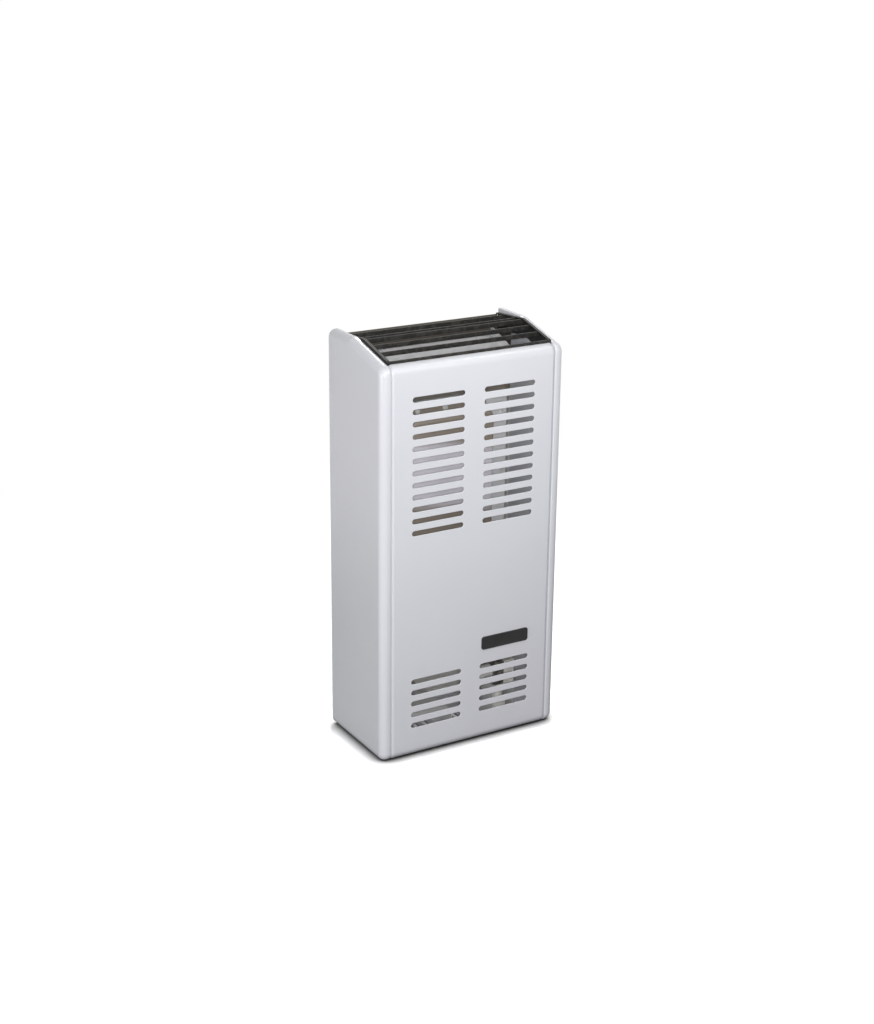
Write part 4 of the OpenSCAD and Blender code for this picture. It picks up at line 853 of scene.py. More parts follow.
def spangle_group(name):
    """Crystals of a hot-dipped zinc or aluminium coat: a value for each crystal."""
    tree, into = effect_tree(name, [number("Scale", 120.0)], "Value")
    warp = noise(tree, into["Place"], into["Scale"], 3.0)["Color"]
    ragged = vec(tree, "ADD", into["Place"], vec(tree, "MULTIPLY", warp, (4 * MM, 4 * MM, 4 * MM)))
    cells = add(tree, "ShaderNodeTexVoronoi", {"Vector": ragged, "Scale": into["Scale"]})
    return ended(tree, split(tree, cells.outputs["Color"])[0])


def heat_group(name):
    """A band of one colour across another, uneven at its edges. It paints the band of light across the
    chamber's front, and the brown band and the painted shade on the back plate.
    """
    tree, into = effect_tree(name, [
        colour_input("Ground"), colour_input("Band"), number("Low", 0.345), number("High", 0.437),
        number("Slant", -0.17), number("Fade", 0.012)], "Colour")
    place = split(tree, into["Place"])
    ripple = times(tree, less(tree, noise(tree, into["Place"], 16.0, 4.0)[0], 0.5), 0.02)
    level = plus(tree, less(tree, place[2], times(tree, place[0], into["Slant"])), ripple)
    low, high, fade = into["Low"], into["High"], into["Fade"]
    rise = ramp(tree, level, less(tree, low, fade), plus(tree, low, fade))
    fall = ramp(tree, level, less(tree, high, fade), plus(tree, high, fade), 1.0, 0.0)
    return ended(tree, blend(tree, times(tree, rise, fall), into["Ground"], into["Band"]))


def strip_group(name):
    """Bare sheet or metal outside a half width and behind a front level."""
    tree, into = effect_tree(name, [
        colour_input("Ground"), colour_input("Strip"), number("Half Width"), number("Front")], "Colour")
    place = split(tree, into["Place"])
    outside = calc(tree, "GREATER_THAN", calc(tree, "ABSOLUTE", place[0]), into["Half Width"])
    behind = calc(tree, "GREATER_THAN", place[1], into["Front"])
    return ended(tree, blend(tree, times(tree, outside, behind), into["Ground"], into["Strip"]))


def colour4(colour):
    return (*colour, 1.0)


def darker(colour, share):
    return tuple(c * share for c in colour)


def own(colour):
    """One of the colours that a user may change."""
    return tuple(getattr(bpy.context.scene.heater_colours, colour))


def finish(name, colour, roughness, tone=None, mottle=(6.0, 0.5), grain=(300.0, EVEN, 0.05), spread=0.08,
           wear=None, dust=None, spangle=None, heat=(), strip=None, shader=None):
    """A finish built once from shared effects. mottle is (scale, amount), grain (scale, stretch, relief in
    millimetres), spread the change in roughness across the surface, wear (colour, amount, scale), dust
    (colour, amount), spangle (scale, darkening), heat a list of (colour, low, high,
    slant) for bands of tone, of painted light and of painted shade, strip (colour, half width, front) and
    shader what is the same all over the surface."""
    made = bpy.data.materials.get(name + "_finish")
    if made:
        return made
    made = bpy.data.materials.new(name + "_finish")
    made.use_nodes = True
    tree = made.node_tree
    tree.nodes.clear()
    place = add(tree, "ShaderNodeTexCoord").outputs["Object"]

    def effect(group, build, values):
        node = add(tree, "ShaderNodeGroup", node_tree=tree_named(group, build))
        for key, value in {"Place": place, **values}.items():
            if isinstance(value, bpy.types.NodeSocket):
                tree.links.new(value, node.inputs[key])
            else:
                node.inputs[key].default_value = value
        return node.outputs[0]

    shade = effect("Mottle", mottle_group, {
        "Base": colour4(colour), "Tone": colour4(tone or darker(colour, 0.9)), "Scale": mottle[0],
        "Amount": mottle[1]})
    relief = effect("Grain", grain_group, {"Scale": grain[0], "Stretch": grain[1]})
    # Bands across the colour: of tone, of painted light and of painted shade
    for band, low, high, slant in heat:
        shade = effect("Heat Band", heat_group, {
            "Ground": shade, "Band": colour4(band), "Low": low, "High": high, "Slant": slant})
    if strip:
        shade = effect("Side Strip", strip_group, {
            "Ground": shade, "Strip": colour4(strip[0]), "Half Width": strip[1], "Front": strip[2]})
    if spangle:
        share = times(tree, effect("Spangle", spangle_group, {"Scale": spangle[0]}), spangle[1])
        shade = blend(tree, share, shade, colour4(darker(colour, 0.55)))
    rough = ramp(tree, relief, 0.3, 1.05, max(roughness - spread, 0.02), min(roughness + spread, 1.0))
    if wear:
        mask = effect("Edge Wear", wear_group, {"Amount": wear[1], "Scale": wear[2]})
        shade = blend(tree, mask, shade, colour4(wear[0]))
    if dust:
        mask = effect("Settled Dust", dust_group, {"Amount": dust[1]})
        shade = blend(tree, mask, shade, colour4(dust[0]))
        rough = plus(tree, rough, times(tree, mask, 0.3), clamp=True)
    bump = add(tree, "ShaderNodeBump", {
        "Height": relief, "Strength": 0.6, "Distance": grain[2] * MM}).outputs[0]
    surface = add(tree, "ShaderNodeBsdfPrincipled", {
        "Base Color": shade, "Roughness": rough, "Normal": bump, **(shader or {})}).outputs[0]
    add(tree, "ShaderNodeOutputMaterial", {0: surface})
    return made


def metal(share):
    """Settings of a metallic surface."""
    return {"Metallic": share}


def glazed(weight):
    """Settings of a clear coat."""
    return {"Coat Weight": weight, "Coat Roughness": 0.12}


def velvet(weight):
    """Settings of a sheet that glows a little at grazing angles, as a rough pale coat does."""
    return {"Sheen Weight": weight, "Sheen Roughness": 0.3}


def white_enamel():
    return finish("white_enamel", own("enamel"), 0.34, own("enamel_shade"), (4.0, 0.55), (260.0, EVEN, 0.02),
                  wear=((0.55, 0.54, 0.52), 0.12, 60.0), dust=((0.66, 0.64, 0.60), 0.06), shader=glazed(0.25))


def black_enamel():
    return finish("black_enamel", own("grille"), 0.55, (0.026, 0.025, 0.022), (30.0, 0.6),
                  (900.0, EVEN, 0.03), wear=((0.07, 0.066, 0.06), 0.4, 120.0),
                  dust=((0.10, 0.095, 0.085), 0.12), shader={"Specular IOR Level": 0.2})


def coated_steel():
    return finish("coated_steel", (0.92, 0.92, 0.93), 0.45, (0.80, 0.79, 0.77), (40.0, 0.7),
                  (420.0, EVEN, 0.03), wear=((0.52, 0.51, 0.49), 0.3, 80.0), dust=((0.62, 0.59, 0.54), 0.2))


def shield_enamel():
    return finish("shield_enamel", (0.96, 0.96, 0.97), 0.5, (0.84, 0.83, 0.81), (60.0, 0.8),
                  (420.0, EVEN, 0.05), shader=velvet(1.0))


def duct_steel():
    return finish("duct_steel", (0.84, 0.76, 0.66), 0.55, (0.68, 0.60, 0.51), (24.0, 0.7),
                  (380.0, EVEN, 0.03), shader=metal(0.1) | velvet(0.6))


def back_steel():
    """Pale coated sheet, brown from 0.468 m up, with painted shade, nearly black, from 0.535 m up under the
    grille.
    """
    # A brown band from 0.468 m up, and painted shade, nearly black, from 0.535 m up under the grille
    brown_band_and_painted_shade = [((0.42, 0.36, 0.30), 0.468, 1.0, 0.0), ((0.11, 0.097, 0.082), 0.535, 1.0, 0.0)]
    return finish("back_steel", (0.90, 0.88, 0.85), 0.5, (0.78, 0.76, 0.72), (40.0, 0.8), (420.0, EVEN, 0.04),
                  heat=brown_band_and_painted_shade, dust=((0.40, 0.37, 0.33), 0.1))


def deflector_steel():
    return finish("deflector_steel", (0.97, 0.97, 0.985), 0.4, (0.90, 0.90, 0.92), (12.0, 0.5),
                  (500.0, (0.08, 1, 1), 0.02), shader=velvet(1.0))


def die_cast():
    return finish("die_cast", (0.84, 0.82, 0.77), 0.5, (0.70, 0.68, 0.63), (50.0, 0.7), (650.0, EVEN, 0.1),
                  wear=((0.80, 0.79, 0.77), 0.5, 140.0), dust=((0.60, 0.57, 0.52), 0.15), shader=metal(0.1))


def half_coated_cast():
    """A black-coated casting that is bare beyond a distance from the heater's middle."""
    return finish("half_coated_cast", (0.045, 0.043, 0.040), 0.55, (0.075, 0.07, 0.062), (60.0, 0.7),
                  (650.0, EVEN, 0.12), strip=((0.80, 0.78, 0.73), 0.081, -1.0),
                  wear=((0.40, 0.38, 0.35), 0.5, 140.0), dust=((0.30, 0.28, 0.25), 0.15))


def bright_steel():
    return finish("bright_steel", own("bright"), 0.34, (0.78, 0.78, 0.80), (12.0, 0.5),
                  (500.0, (0.08, 1, 1), 0.02), spangle=(160.0, 0.12), dust=((0.60, 0.58, 0.55), 0.1),
                  shader=metal(0.4))


def zinc_steel():
    return finish("zinc_steel", own("zinc"), 0.42, (0.68, 0.68, 0.67), (10.0, 0.6), (380.0, EVEN, 0.03),
                  spangle=(110.0, 0.25), wear=((0.70, 0.71, 0.72), 0.4, 70.0), dust=((0.33, 0.30, 0.26), 0.2),
                  shader=metal(0.25))


def heat_steel():
    """Heated brown sheet with a paler slanting band of painted light across it, and bright where the joint
    flange stands outside the body."""
    return finish("heat_steel", own("heat_brown"), 0.5, (0.34, 0.30, 0.26), (14.0, 0.8),
                  # The slanting band from about 0.345 m to 0.437 m up is painted light
                  (300.0, (1, 1, 0.4), 0.05), spread=0.12, heat=[(own("heat_lilac"), 0.345, 0.437, -0.17)],
                  strip=((0.93, 0.93, 0.94), 0.0675, -0.0722), dust=((0.40, 0.35, 0.30), 0.2),
                  shader=metal(0.25))


def burner_steel():
    return finish("burner_steel", (0.42, 0.39, 0.36), 0.38, (0.20, 0.16, 0.22), (24.0, 0.8),
                  (500.0, (0.1, 1, 1), 0.03), shader=metal(0.9))


def fibre_seal():
    return finish("fibre_seal", (0.62, 0.60, 0.55), 0.92, (0.50, 0.47, 0.42), (70.0, 0.8),
                  (1400.0, EVEN, 0.15))


def sight_glass():
    return finish("sight_glass", (0.86, 0.90, 0.90), 0.05, (0.80, 0.84, 0.84), (20.0, 0.4),
                  (200.0, EVEN, 0.004), spread=0.02, shader={"Transmission Weight": 0.95, "IOR": 1.5})


def brass():
    return finish("brass", own("brass"), 0.28, (0.50, 0.34, 0.15), (60.0, 0.5), (700.0, (1, 1, 0.15), 0.012),
                  wear=((0.85, 0.68, 0.40), 0.5, 150.0), shader=metal(1.0))


def copper():
    return finish("copper", own("copper"), 0.3, (0.42, 0.19, 0.13), (45.0, 0.7), (600.0, EVEN, 0.012),
                  shader=metal(1.0))


def ceramic():
    return finish("ceramic", (0.80, 0.77, 0.70), 0.35, (0.68, 0.62, 0.52), (120.0, 0.4), (1200.0, EVEN, 0.01),
                  shader=glazed(0.3))


def lead_rubber():
    return finish("lead_rubber", (0.30, 0.035, 0.02), 0.55, (0.20, 0.02, 0.015), (90.0, 0.5),
                  (1500.0, EVEN, 0.02))


def tube_aluminium():
    return finish("tube_aluminium", (0.88, 0.88, 0.86), 0.4, (0.76, 0.75, 0.72), (50.0, 0.6),
                  (800.0, (1, 1, 0.1), 0.012), shader=metal(0.25))


def cast_valve():
    return finish("cast_valve", (0.045, 0.043, 0.040), 0.55, (0.075, 0.07, 0.062), (60.0, 0.7),
                  (650.0, EVEN, 0.12), wear=((0.30, 0.28, 0.25), 0.6, 140.0), dust=((0.20, 0.18, 0.15), 0.25),
                  shader=metal(0.3))


def black_plastic():
    return finish("black_plastic", (0.020, 0.020, 0.021), 0.42, (0.027, 0.027, 0.028), (80.0, 0.5),
                  (2200.0, EVEN, 0.02), wear=((0.07, 0.07, 0.07), 0.5, 200.0),
                  dust=((0.12, 0.115, 0.11), 0.1))


def button_plastic():
    return finish("button_plastic", own("button"), 0.3, (0.33, 0.014, 0.012), (60.0, 0.5),
                  (1600.0, EVEN, 0.01), shader=glazed(0.4))


def mark_white():
    return finish("mark_white", (0.72, 0.72, 0.70), 0.5, (0.60, 0.60, 0.58), (200.0, 0.5),
                  (2000.0, EVEN, 0.01))


FINISHES = {f.__name__: f for f in (
    white_enamel, black_enamel, coated_steel, bright_steel, zinc_steel, heat_steel, burner_steel,
    fibre_seal, sight_glass, brass, copper, ceramic, lead_rubber, tube_aluminium, cast_valve, black_plastic,
    button_plastic)}
# Nodes whose finish isn't the one of their slot
OWN_FINISH = {"back_plate": back_steel, "warm_air_deflector": deflector_steel, "inlet_shield": shield_enamel,
              "duct_walls": duct_steel, "gas_valve_body": half_coated_cast, "valve_bonnet": die_cast,
              "gas_inlet_union": die_cast, "magnet_unit": tube_aluminium}


def coat_of(node):
    """The finish of a node: its own where it has one, or else its slot's."""
    return OWN_FINISH.get(node, FINISHES[SLOTS[node]])()


# ---------------------------------------------------------------- operators


class Builder:
    """What every operator of the heater shares."""
    bl_options = {"REGISTER", "UNDO"}


class HEATER_OT_front_panel(Builder, bpy.types.Operator):
    """Builds the slotted front panel with its bends, returns and folded top edge"""
    bl_idname = "heater.front_panel"
    bl_label = "Front Panel"
    SUPPORT = 1.5 * MM

    def execute(self, context):
        scene = context.scene
        p, profile = scene.heater_panel, Profile(scene.heater_cabinet)
        flat = p.half_width - p.side_bend
        left = [(-p.half_width, p.side_return - p.sheet / 2, 1, 0),
                *bent((-flat, p.side_bend), p.side_bend, 180, 270, 8), (-flat + self.SUPPORT, 0, 0, 1)]
        chain = left + [(-x, d, -nx, nd) for x, d, nx, nd in reversed(left)]
        loop = sheet_loop(chain, p.sheet)
        stations = (profile.flat(0, -p.foot, -self.SUPPORT, profile.length(0)) + profile.bend(0, 10)
                    + profile.whole(1, self.SUPPORT) + profile.bend(1, 9) + profile.flat(2, 0))
        front = next(i for i, (_, inward) in enumerate(stations) if inward.x > 0.999999) + 1
        outer_gap = len(left) - 1
        inner_gap = len(chain) + 3 + outer_gap
        points, faces = swept([loop] * len(stations), stations, {(front, outer_gap), (front, inner_gap)})
        sides = len(loop)
        for base in (0, (len(stations) - 1) * sides):
            for k in range(len(chain) - 1):
                far = 2 * len(chain) + 2 - k
                faces.append((base + k, base + k + 1, base + far - 1, base + far))
            faces.append(tuple(base + k for k in range(len(chain) - 1, len(chain) + 4)))
            faces.append((base, *(base + k for k in range(sides - 4, sides))))
        bottom, top = stations[front][0].y, stations[front + 1][0].y
        slotted = grown("slotted_flat", mesh_of("panel_seed", [(0, 0, 0)], []),
                        tree_named("Slotted Sheet", slotted_sheet_tree), {
            "Half Width": flat - self.SUPPORT, "Bottom": bottom, "Top": top,
            "Front": -scene.heater_cabinet.depth, "Sheet": p.sheet, "Slot Length": p.slot_length,
            "Slot Height": p.slot_height,
            "Column Gap": p.column_gap, "Upper Rows": p.upper_rows, "Lower Rows": p.lower_rows,
            "Upper Pitch": p.upper_pitch, "Lower Pitch": p.lower_pitch, "Upper Height": p.upper_height,
            "Lower Height": p.lower_height, "Edge": p.slot_edge, "Arc Steps": 7, "Finish": white_enamel()})
        sides = mesh_of("panel_sides", points, faces)
        replace("front_panel", joined(sides, slotted, self.folded_edge(p, profile)))
        return {"FINISHED"}

    def folded_edge(self, p, profile, steps=5, hollow=0.02 * MM, straight_share=0.94):
        """The strip that runs on up the slope and folds down into a hem behind the brow. The fold turns in
        steps about a small hollow, and straight_share is how much of the hem hangs straight."""
        half = p.half_width - p.side_bend - 1 * MM
        start, inward = profile.flat(2, 0)[0]
        end = profile.flat(2, max(p.brow - p.sheet, 0.05 * MM))[0][0]
        pivot = end + inward * p.sheet
        outer, inner = [start, end], [start + inward * p.sheet, pivot.copy()]
        for k in range(1, steps + 1):
            turn = math.radians(profile.facing[2]) * k / steps
            direction = -inward * math.cos(turn) + profile.run(2) * math.sin(turn)
            outer.append(pivot + direction * p.sheet)
            inner.append(pivot + direction * hollow)
        drop = Vector((0, -1)) * p.hem * straight_share
        outer.append(outer[-1] + drop)
        inner.append(inner[-1] + drop)
        ring = outer + inner[::-1]
        sides = len(ring)
        faces = ring_faces(0, sides, sides)
        for base in (0, sides):
            faces += [(base + k, base + k + 1, base + sides - 2 - k, base + sides - 1 - k)
                      for k in range(len(outer) - 1)]
        return mesh_of("panel_fold", [(x, y, z) for x in (-half, half) for y, z in ring], faces)


class HEATER_OT_cheeks(Builder, bpy.types.Operator):
    """Builds the two side cheeks with their rolled rims and return lips"""
    bl_idname = "heater.cheeks"
    bl_label = "Side Cheeks"
    SUPPORT = 0.6 * MM

    def execute(self, context):
        s = context.scene.heater_cabinet
        replace("left_cheek", self.cheek(s, []))
        holes = [circle(middle_of(node)[1:], radius, 32)
                 for node, radius in (("valve_spindle", s.spindle_hole), ("igniter_barrel", s.igniter_hole))]
        mesh = self.cheek(s, holes)
        mesh.transform(Matrix.Scale(-1, 4, (1, 0, 0)))
        mesh.flip_normals()
        replace("right_cheek", mesh)
        return {"FINISHED"}

    def chain(self, s, lip):
        """The rim's outer face from the lip's end round to the side."""
        half = s.width / 2
        lip_x = half - s.cheek_band
        return [(-lip_x, lip - s.sheet / 2, -1, 0),
                *bent((-lip_x - s.lip_bend, s.lip_bend), s.lip_bend, 0, -90, 4),
                *bent((-half + s.rim_bend, s.rim_bend), s.rim_bend, -90, -180, 14),
                (-half, s.rim_bend + self.SUPPORT, 1, 0)]

    def cheek(self, s, holes):
        """The left cheek, with the holes that the right one has."""
        profile, half, support = Profile(s), s.width / 2, self.SUPPORT
        front_chain = self.chain(s, s.front_lip)
        front_loop, top_loop = (sheet_loop(chain, s.sheet, round_last=False)
                                for chain in (front_chain, self.chain(s, s.top_lip)))
        low = (profile.whole(0, support) + profile.bend(0, 12) + profile.whole(1, support)
               + profile.bend(1, 10) + profile.flat(2, 0))
        high = profile.whole(2, support) + profile.bend(2, 4) + profile.whole(3, support)
        stations = low + high
        points, faces = swept([front_loop] * len(low) + [top_loop] * len(high), stations,
                              open_edge=len(front_chain) - 1)
        sides = len(front_loop)
        for base in (0, (len(stations) - 1) * sides):
            for k in range(len(front_chain) - 1):
                far = 2 * len(front_chain) - 1 - k
                faces.append((base + k, base + k + 1, base + far - 1, base + far))
            faces.append((base, *(base + k for k in range(sides - 4, sides))))
        outline = [tuple(place + inward * (s.rim_bend + support)) for place, inward in low + high[1:]]
        plate_points, plate_faces = holed_plate(outline, holes, -half, -half + s.sheet)
        edge = len(plate_points) // 2
        wall = [f for f in plate_faces if len(f) == 4 and max(f) >= edge > min(f)]
        last = len(outline) - 1
        rim = {f for f in wall[:len(outline)] if set(f) != {0, last, edge, edge + last}}
        kept = [f for f in plate_faces if f not in rim]
        return joined(mesh_of("rim", points, faces), mesh_of("plate", plate_points, kept))


class HEATER_OT_badge(Builder, bpy.types.Operator):
    """Builds the plain badge plate with its fine raised border"""
    bl_idname = "heater.badge"
    bl_label = "Badge Plate"
    # Rings of the plate from its back edge to its middle: inset and depth behind the front, in millimetres
    RINGS = ((0, 0.45), (0.12, 0.15), (0.4, 0), (1.1, 0), (1.3, 0.06), (1.5, 0.25), (1.9, 0.28))

    def execute(self, context):
        low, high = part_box("badge_plate")
        centre = ((low.x + high.x) / 2, (low.z + high.z) / 2)
        width, height = high.x - low.x, high.z - low.z
        points = []
        for inset, y in [(0, high.y), *((inset * MM, low.y + depth * MM) for inset, depth in self.RINGS)]:
            outline = rounded_rectangle(width - 2 * inset, height - 2 * inset, height / 5 - inset, 6, centre)
            points += [(x, y, z) for x, z in outline]
        rings = len(self.RINGS) + 1
        sides = len(points) // rings
        faces = [*stacked_faces(rings, sides), tuple(range(sides)),
                 tuple(range((rings - 1) * sides, rings * sides))]
        replace("badge_plate", joined(mesh_of("badge", points, faces)))
        return {"FINISHED"}


class HEATER_OT_grille(Builder, bpy.types.Operator):
    """Builds the grille's bars, rails and end plates"""
    bl_idname = "heater.grille"
    bl_label = "Grille"
    BARS = ["grille_bar_1", "grille_bar_2", "grille_bar_3", "grille_bar_4", "grille_back_rail"]

    def execute(self, context):
        g = context.scene.heater_grille
        tree = tree_named("Bars On Points", bars_tree)
        values = {"Length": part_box(self.BARS[0])[1].x * 2, "Thickness": g.thickness, "Height": g.height,
                  "Edge": g.edge, "Finish": black_enamel()}
        points = point_mesh("bar_points", [middle_of(node) for node in self.BARS], "turn",
                            [(0, 0, 0)] * len(self.BARS))
        mesh = joined(grown("bars", points, tree, values))
        piece("grille_bars", mesh, black_enamel(), nodes=self.BARS)
        low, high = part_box("grille_front_rail")
        points = point_mesh("rail_point", [(low + high) / 2], "turn", [(0, 0, 0)])
        mesh = joined(grown("rail", points, tree, {**values, "Height": high.z - low.z}))
        replace("grille_front_rail", mesh)
        for node in ("grille_end_left", "grille_end_right"):
            replace_rounded(node, 0.25 * MM)
        return {"FINISHED"}


class HEATER_OT_fasteners(Builder, bpy.types.Operator):
    """Builds the screws and rivets, each turned a little differently"""
    bl_idname = "heater.fasteners"
    bl_label = "Screws and Rivets"
    # Lengths are in millimetres, and whole numbers are counts
    PLAIN = {"Sides": 6, "Head Radius": 4.0, "Side Height": 2.2, "Dome Height": 0.8, "Washer Radius": 0.0,
             "Washer Height": 0.0, "Shank Radius": 1.9, "Shank Length": 8.9, "Recess Width": 1.0,
             "Recess Length": 4.0, "Recess Depth": 0.0, "Seed": 7}
    TO_FRONT, TO_LEFT, TO_RIGHT = (0, -1, 0), (-1, 0, 0), (1, 0, 0)
    # For each node: which ways its heads face, how high a head is, and what differs from the plain fastener
    KINDS = {
        "chamber_screws": ([TO_FRONT], 3.0, {
            "Head Radius": 3.5, "Side Height": 2.0, "Dome Height": 0.4, "Washer Radius": 4.0,
            "Washer Height": 0.6}),
        "bracket_rivets": ([TO_FRONT], 1.5, {
            "Sides": 24, "Side Height": 0.4, "Dome Height": 1.1, "Shank Radius": 1.95, "Shank Length": 2.3,
            "Seed": 3}),
        "sight_screws": ([TO_FRONT], 1.6, {
            "Sides": 20, "Head Radius": 2.2, "Side Height": 0.7, "Dome Height": 0.9, "Shank Radius": 1.2,
            "Shank Length": 6.3, "Recess Width": 0.45, "Recess Length": 2.4, "Recess Depth": 0.6,
            "Seed": 11}),
        "bonnet_screws": ([TO_RIGHT], 2.0, {
            "Sides": 20, "Head Radius": 2.8, "Side Height": 1.1, "Dome Height": 0.9, "Shank Radius": 1.45,
            "Shank Length": 8.9, "Recess Width": 0.6, "Recess Length": 3.2, "Recess Depth": 0.8, "Seed": 5}),
        "grille_rivets": ([TO_LEFT, TO_RIGHT], 1.2, {
            "Sides": 24, "Head Radius": 2.6, "Side Height": 0.25, "Dome Height": 0.95, "Shank Radius": 1.45,
            "Shank Length": 1.5, "Seed": 2}),
    }

    def execute(self, context):
        for node, (ways, head, differences) in self.KINDS.items():
            points, facings = [], []
            for low, high in solids_of(node):
                for way in ways:
                    axis = max(range(3), key=lambda i: abs(way[i]))
                    spot = (low + high) / 2
                    spot[axis] = (high[axis] - head * MM) if way[axis] > 0 else (low[axis] + head * MM)
                    points.append(spot)
                    facings.append(way)
            values = {key: value * MM if isinstance(value, float) else value
                      for key, value in {**self.PLAIN, **differences}.items()}
            values["Finish"] = coat_of(node)
            seed = point_mesh(node + "_points", points, "facing", facings)
            replace(node, joined(grown(node, seed, tree_named("Fasteners", fasteners_tree), values)))
        replace_rounded("panel_screws", 0.1 * MM)
        return {"FINISHED"}


class HEATER_OT_heat_exchanger(Builder, bpy.types.Operator):
    """Builds the pressed front shell of the heat exchanger with its joint flange and sight hole"""
    bl_idname = "heater.heat_exchanger"
    bl_label = "Heat Exchanger"

    def execute(self, context):
        s = context.scene.heater_chamber
        low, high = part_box("chamber_front_shell")
        outer, inner = self.skin(s, low, high, 0), self.skin(s, low, high, s.sheet)
        rings = outer + inner[::-1]
        sides = len(rings[0])
        points = [p for ring in rings for p in ring]
        faces = stacked_faces(len(rings), sides)
        sight = middle_of("sight_glass")
        hole = circle((sight.x, sight.z), s.sight_hole, 40)
        start = len(points)
        for order, (row, y) in enumerate(((0, low.y), (len(rings) - 1, low.y + s.sheet))):
            ring = [(p[0], p[2]) for p in rings[row]]
            triangles = tessellate_polygon([[Vector((u, v, 0)) for u, v in loop] for loop in (ring, hole)])
            points += [(u, y, v) for u, v in hole]
            faces += [tuple(row * sides + i if i < sides else start + order * len(hole) + i - sides
                            for i in t) for t in triangles]
        faces += ring_faces(start, start + len(hole), len(hole))
        replace("chamber_front_shell", joined(mesh_of("shell", points, faces)))
        return {"FINISHED"}

    def skin(self, s, low, high, offset):
        """Rings from the face to the flange's edge, on a skin so far behind the outer one."""
        width, height = s.body_width, high.z - low.z - 2 * s.flange
        plane, centre = high.y - s.sheet + offset, (0, (low.z + high.z) / 2)

        def ring(grow, y, wide=width, tall=height, corner=s.corner):
            outline = rounded_rectangle(wide + 2 * grow, tall + 2 * grow, corner + grow, 6, centre)
            return [(x, y, z) for x, z in outline]

        rings, bend, foot = [], s.face_bend - offset, s.foot_bend + offset
        for turn in range(0, 91, 15):
            across, along = math.sin(math.radians(turn)), math.cos(math.radians(turn))
            rings.append(ring(bend * across - s.face_bend, low.y + s.face_bend - bend * along))
        for turn in range(0, 91, 30):
            across, along = math.sin(math.radians(turn)), math.cos(math.radians(turn))
            rings.append(ring(s.foot_bend - foot * along, plane - foot + foot * across))
        return rings + [ring(0, plane, high.x - low.x, high.z - low.z, s.flange_corner)]


class HEATER_OT_knob(Builder, bpy.types.Operator):
    """Builds the fluted gas knob with its pointer"""
    bl_idname = "heater.knob"
    bl_label = "Gas Knob"

    def execute(self, context):
        s = context.scene.heater_controls
        low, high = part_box("control_knob")
        axis = middle_of("valve_spindle")
        back, face = low.x, high.x - 1 * MM
        skirt = (high.y - low.y) / 2
        grip = skirt - 1.3 * MM
        bore_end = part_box("valve_spindle")[1].x + 0.02 * MM
        rows = [(bore_end, 0), (bore_end, s.bore), (back, s.bore)]
        rows += rows_from(back, skirt, (0, -0.5), (0.2, -0.1), (0.6, 0), (2.3, 0), (2.8, -0.2), (3.1, -0.8),
                          (3.4, -1.1))
        first_flute = len(rows)
        rows += rows_from(back, grip, (3.9, 0), (7, -0.3))
        rows += rows_from(face, grip, (-3, -0.8), (-1.8, -1.2), (-0.9, -1.8), (-0.3, -2.8), (0, -4.2))
        last_flute = len(rows) - 2
        rows += rows_from(face, grip, (-0.25, -4.9), (-0.35, -6)) + rows_from(face, 0, (-0.35, 0))

        def flute(row, turn, r):
            if not first_flute <= row <= last_flute:
                return r
            return r - s.flute_depth * max(0.0, math.cos(s.flutes * turn)) ** 1.4

        replace("control_knob", turned(rows, along_x(axis), 192, flute))
        outline = rounded_rectangle(s.pointer_width, s.pointer_length, s.pointer_width / 2 - 0.01 * MM, 6,
                                    (axis.y, axis.z + s.pointer_rise))
        plate = holed_plate(outline, [], face - 0.45 * MM, high.x - 0.2 * MM)
        mesh = rounded_edges(joined(mesh_of("pointer", *plate)), 0.2 * MM, 60)
        piece("knob_pointer", mesh, mark_white(), "knob", smooth=ROUNDED_ANGLE)
        return {"FINISHED"}


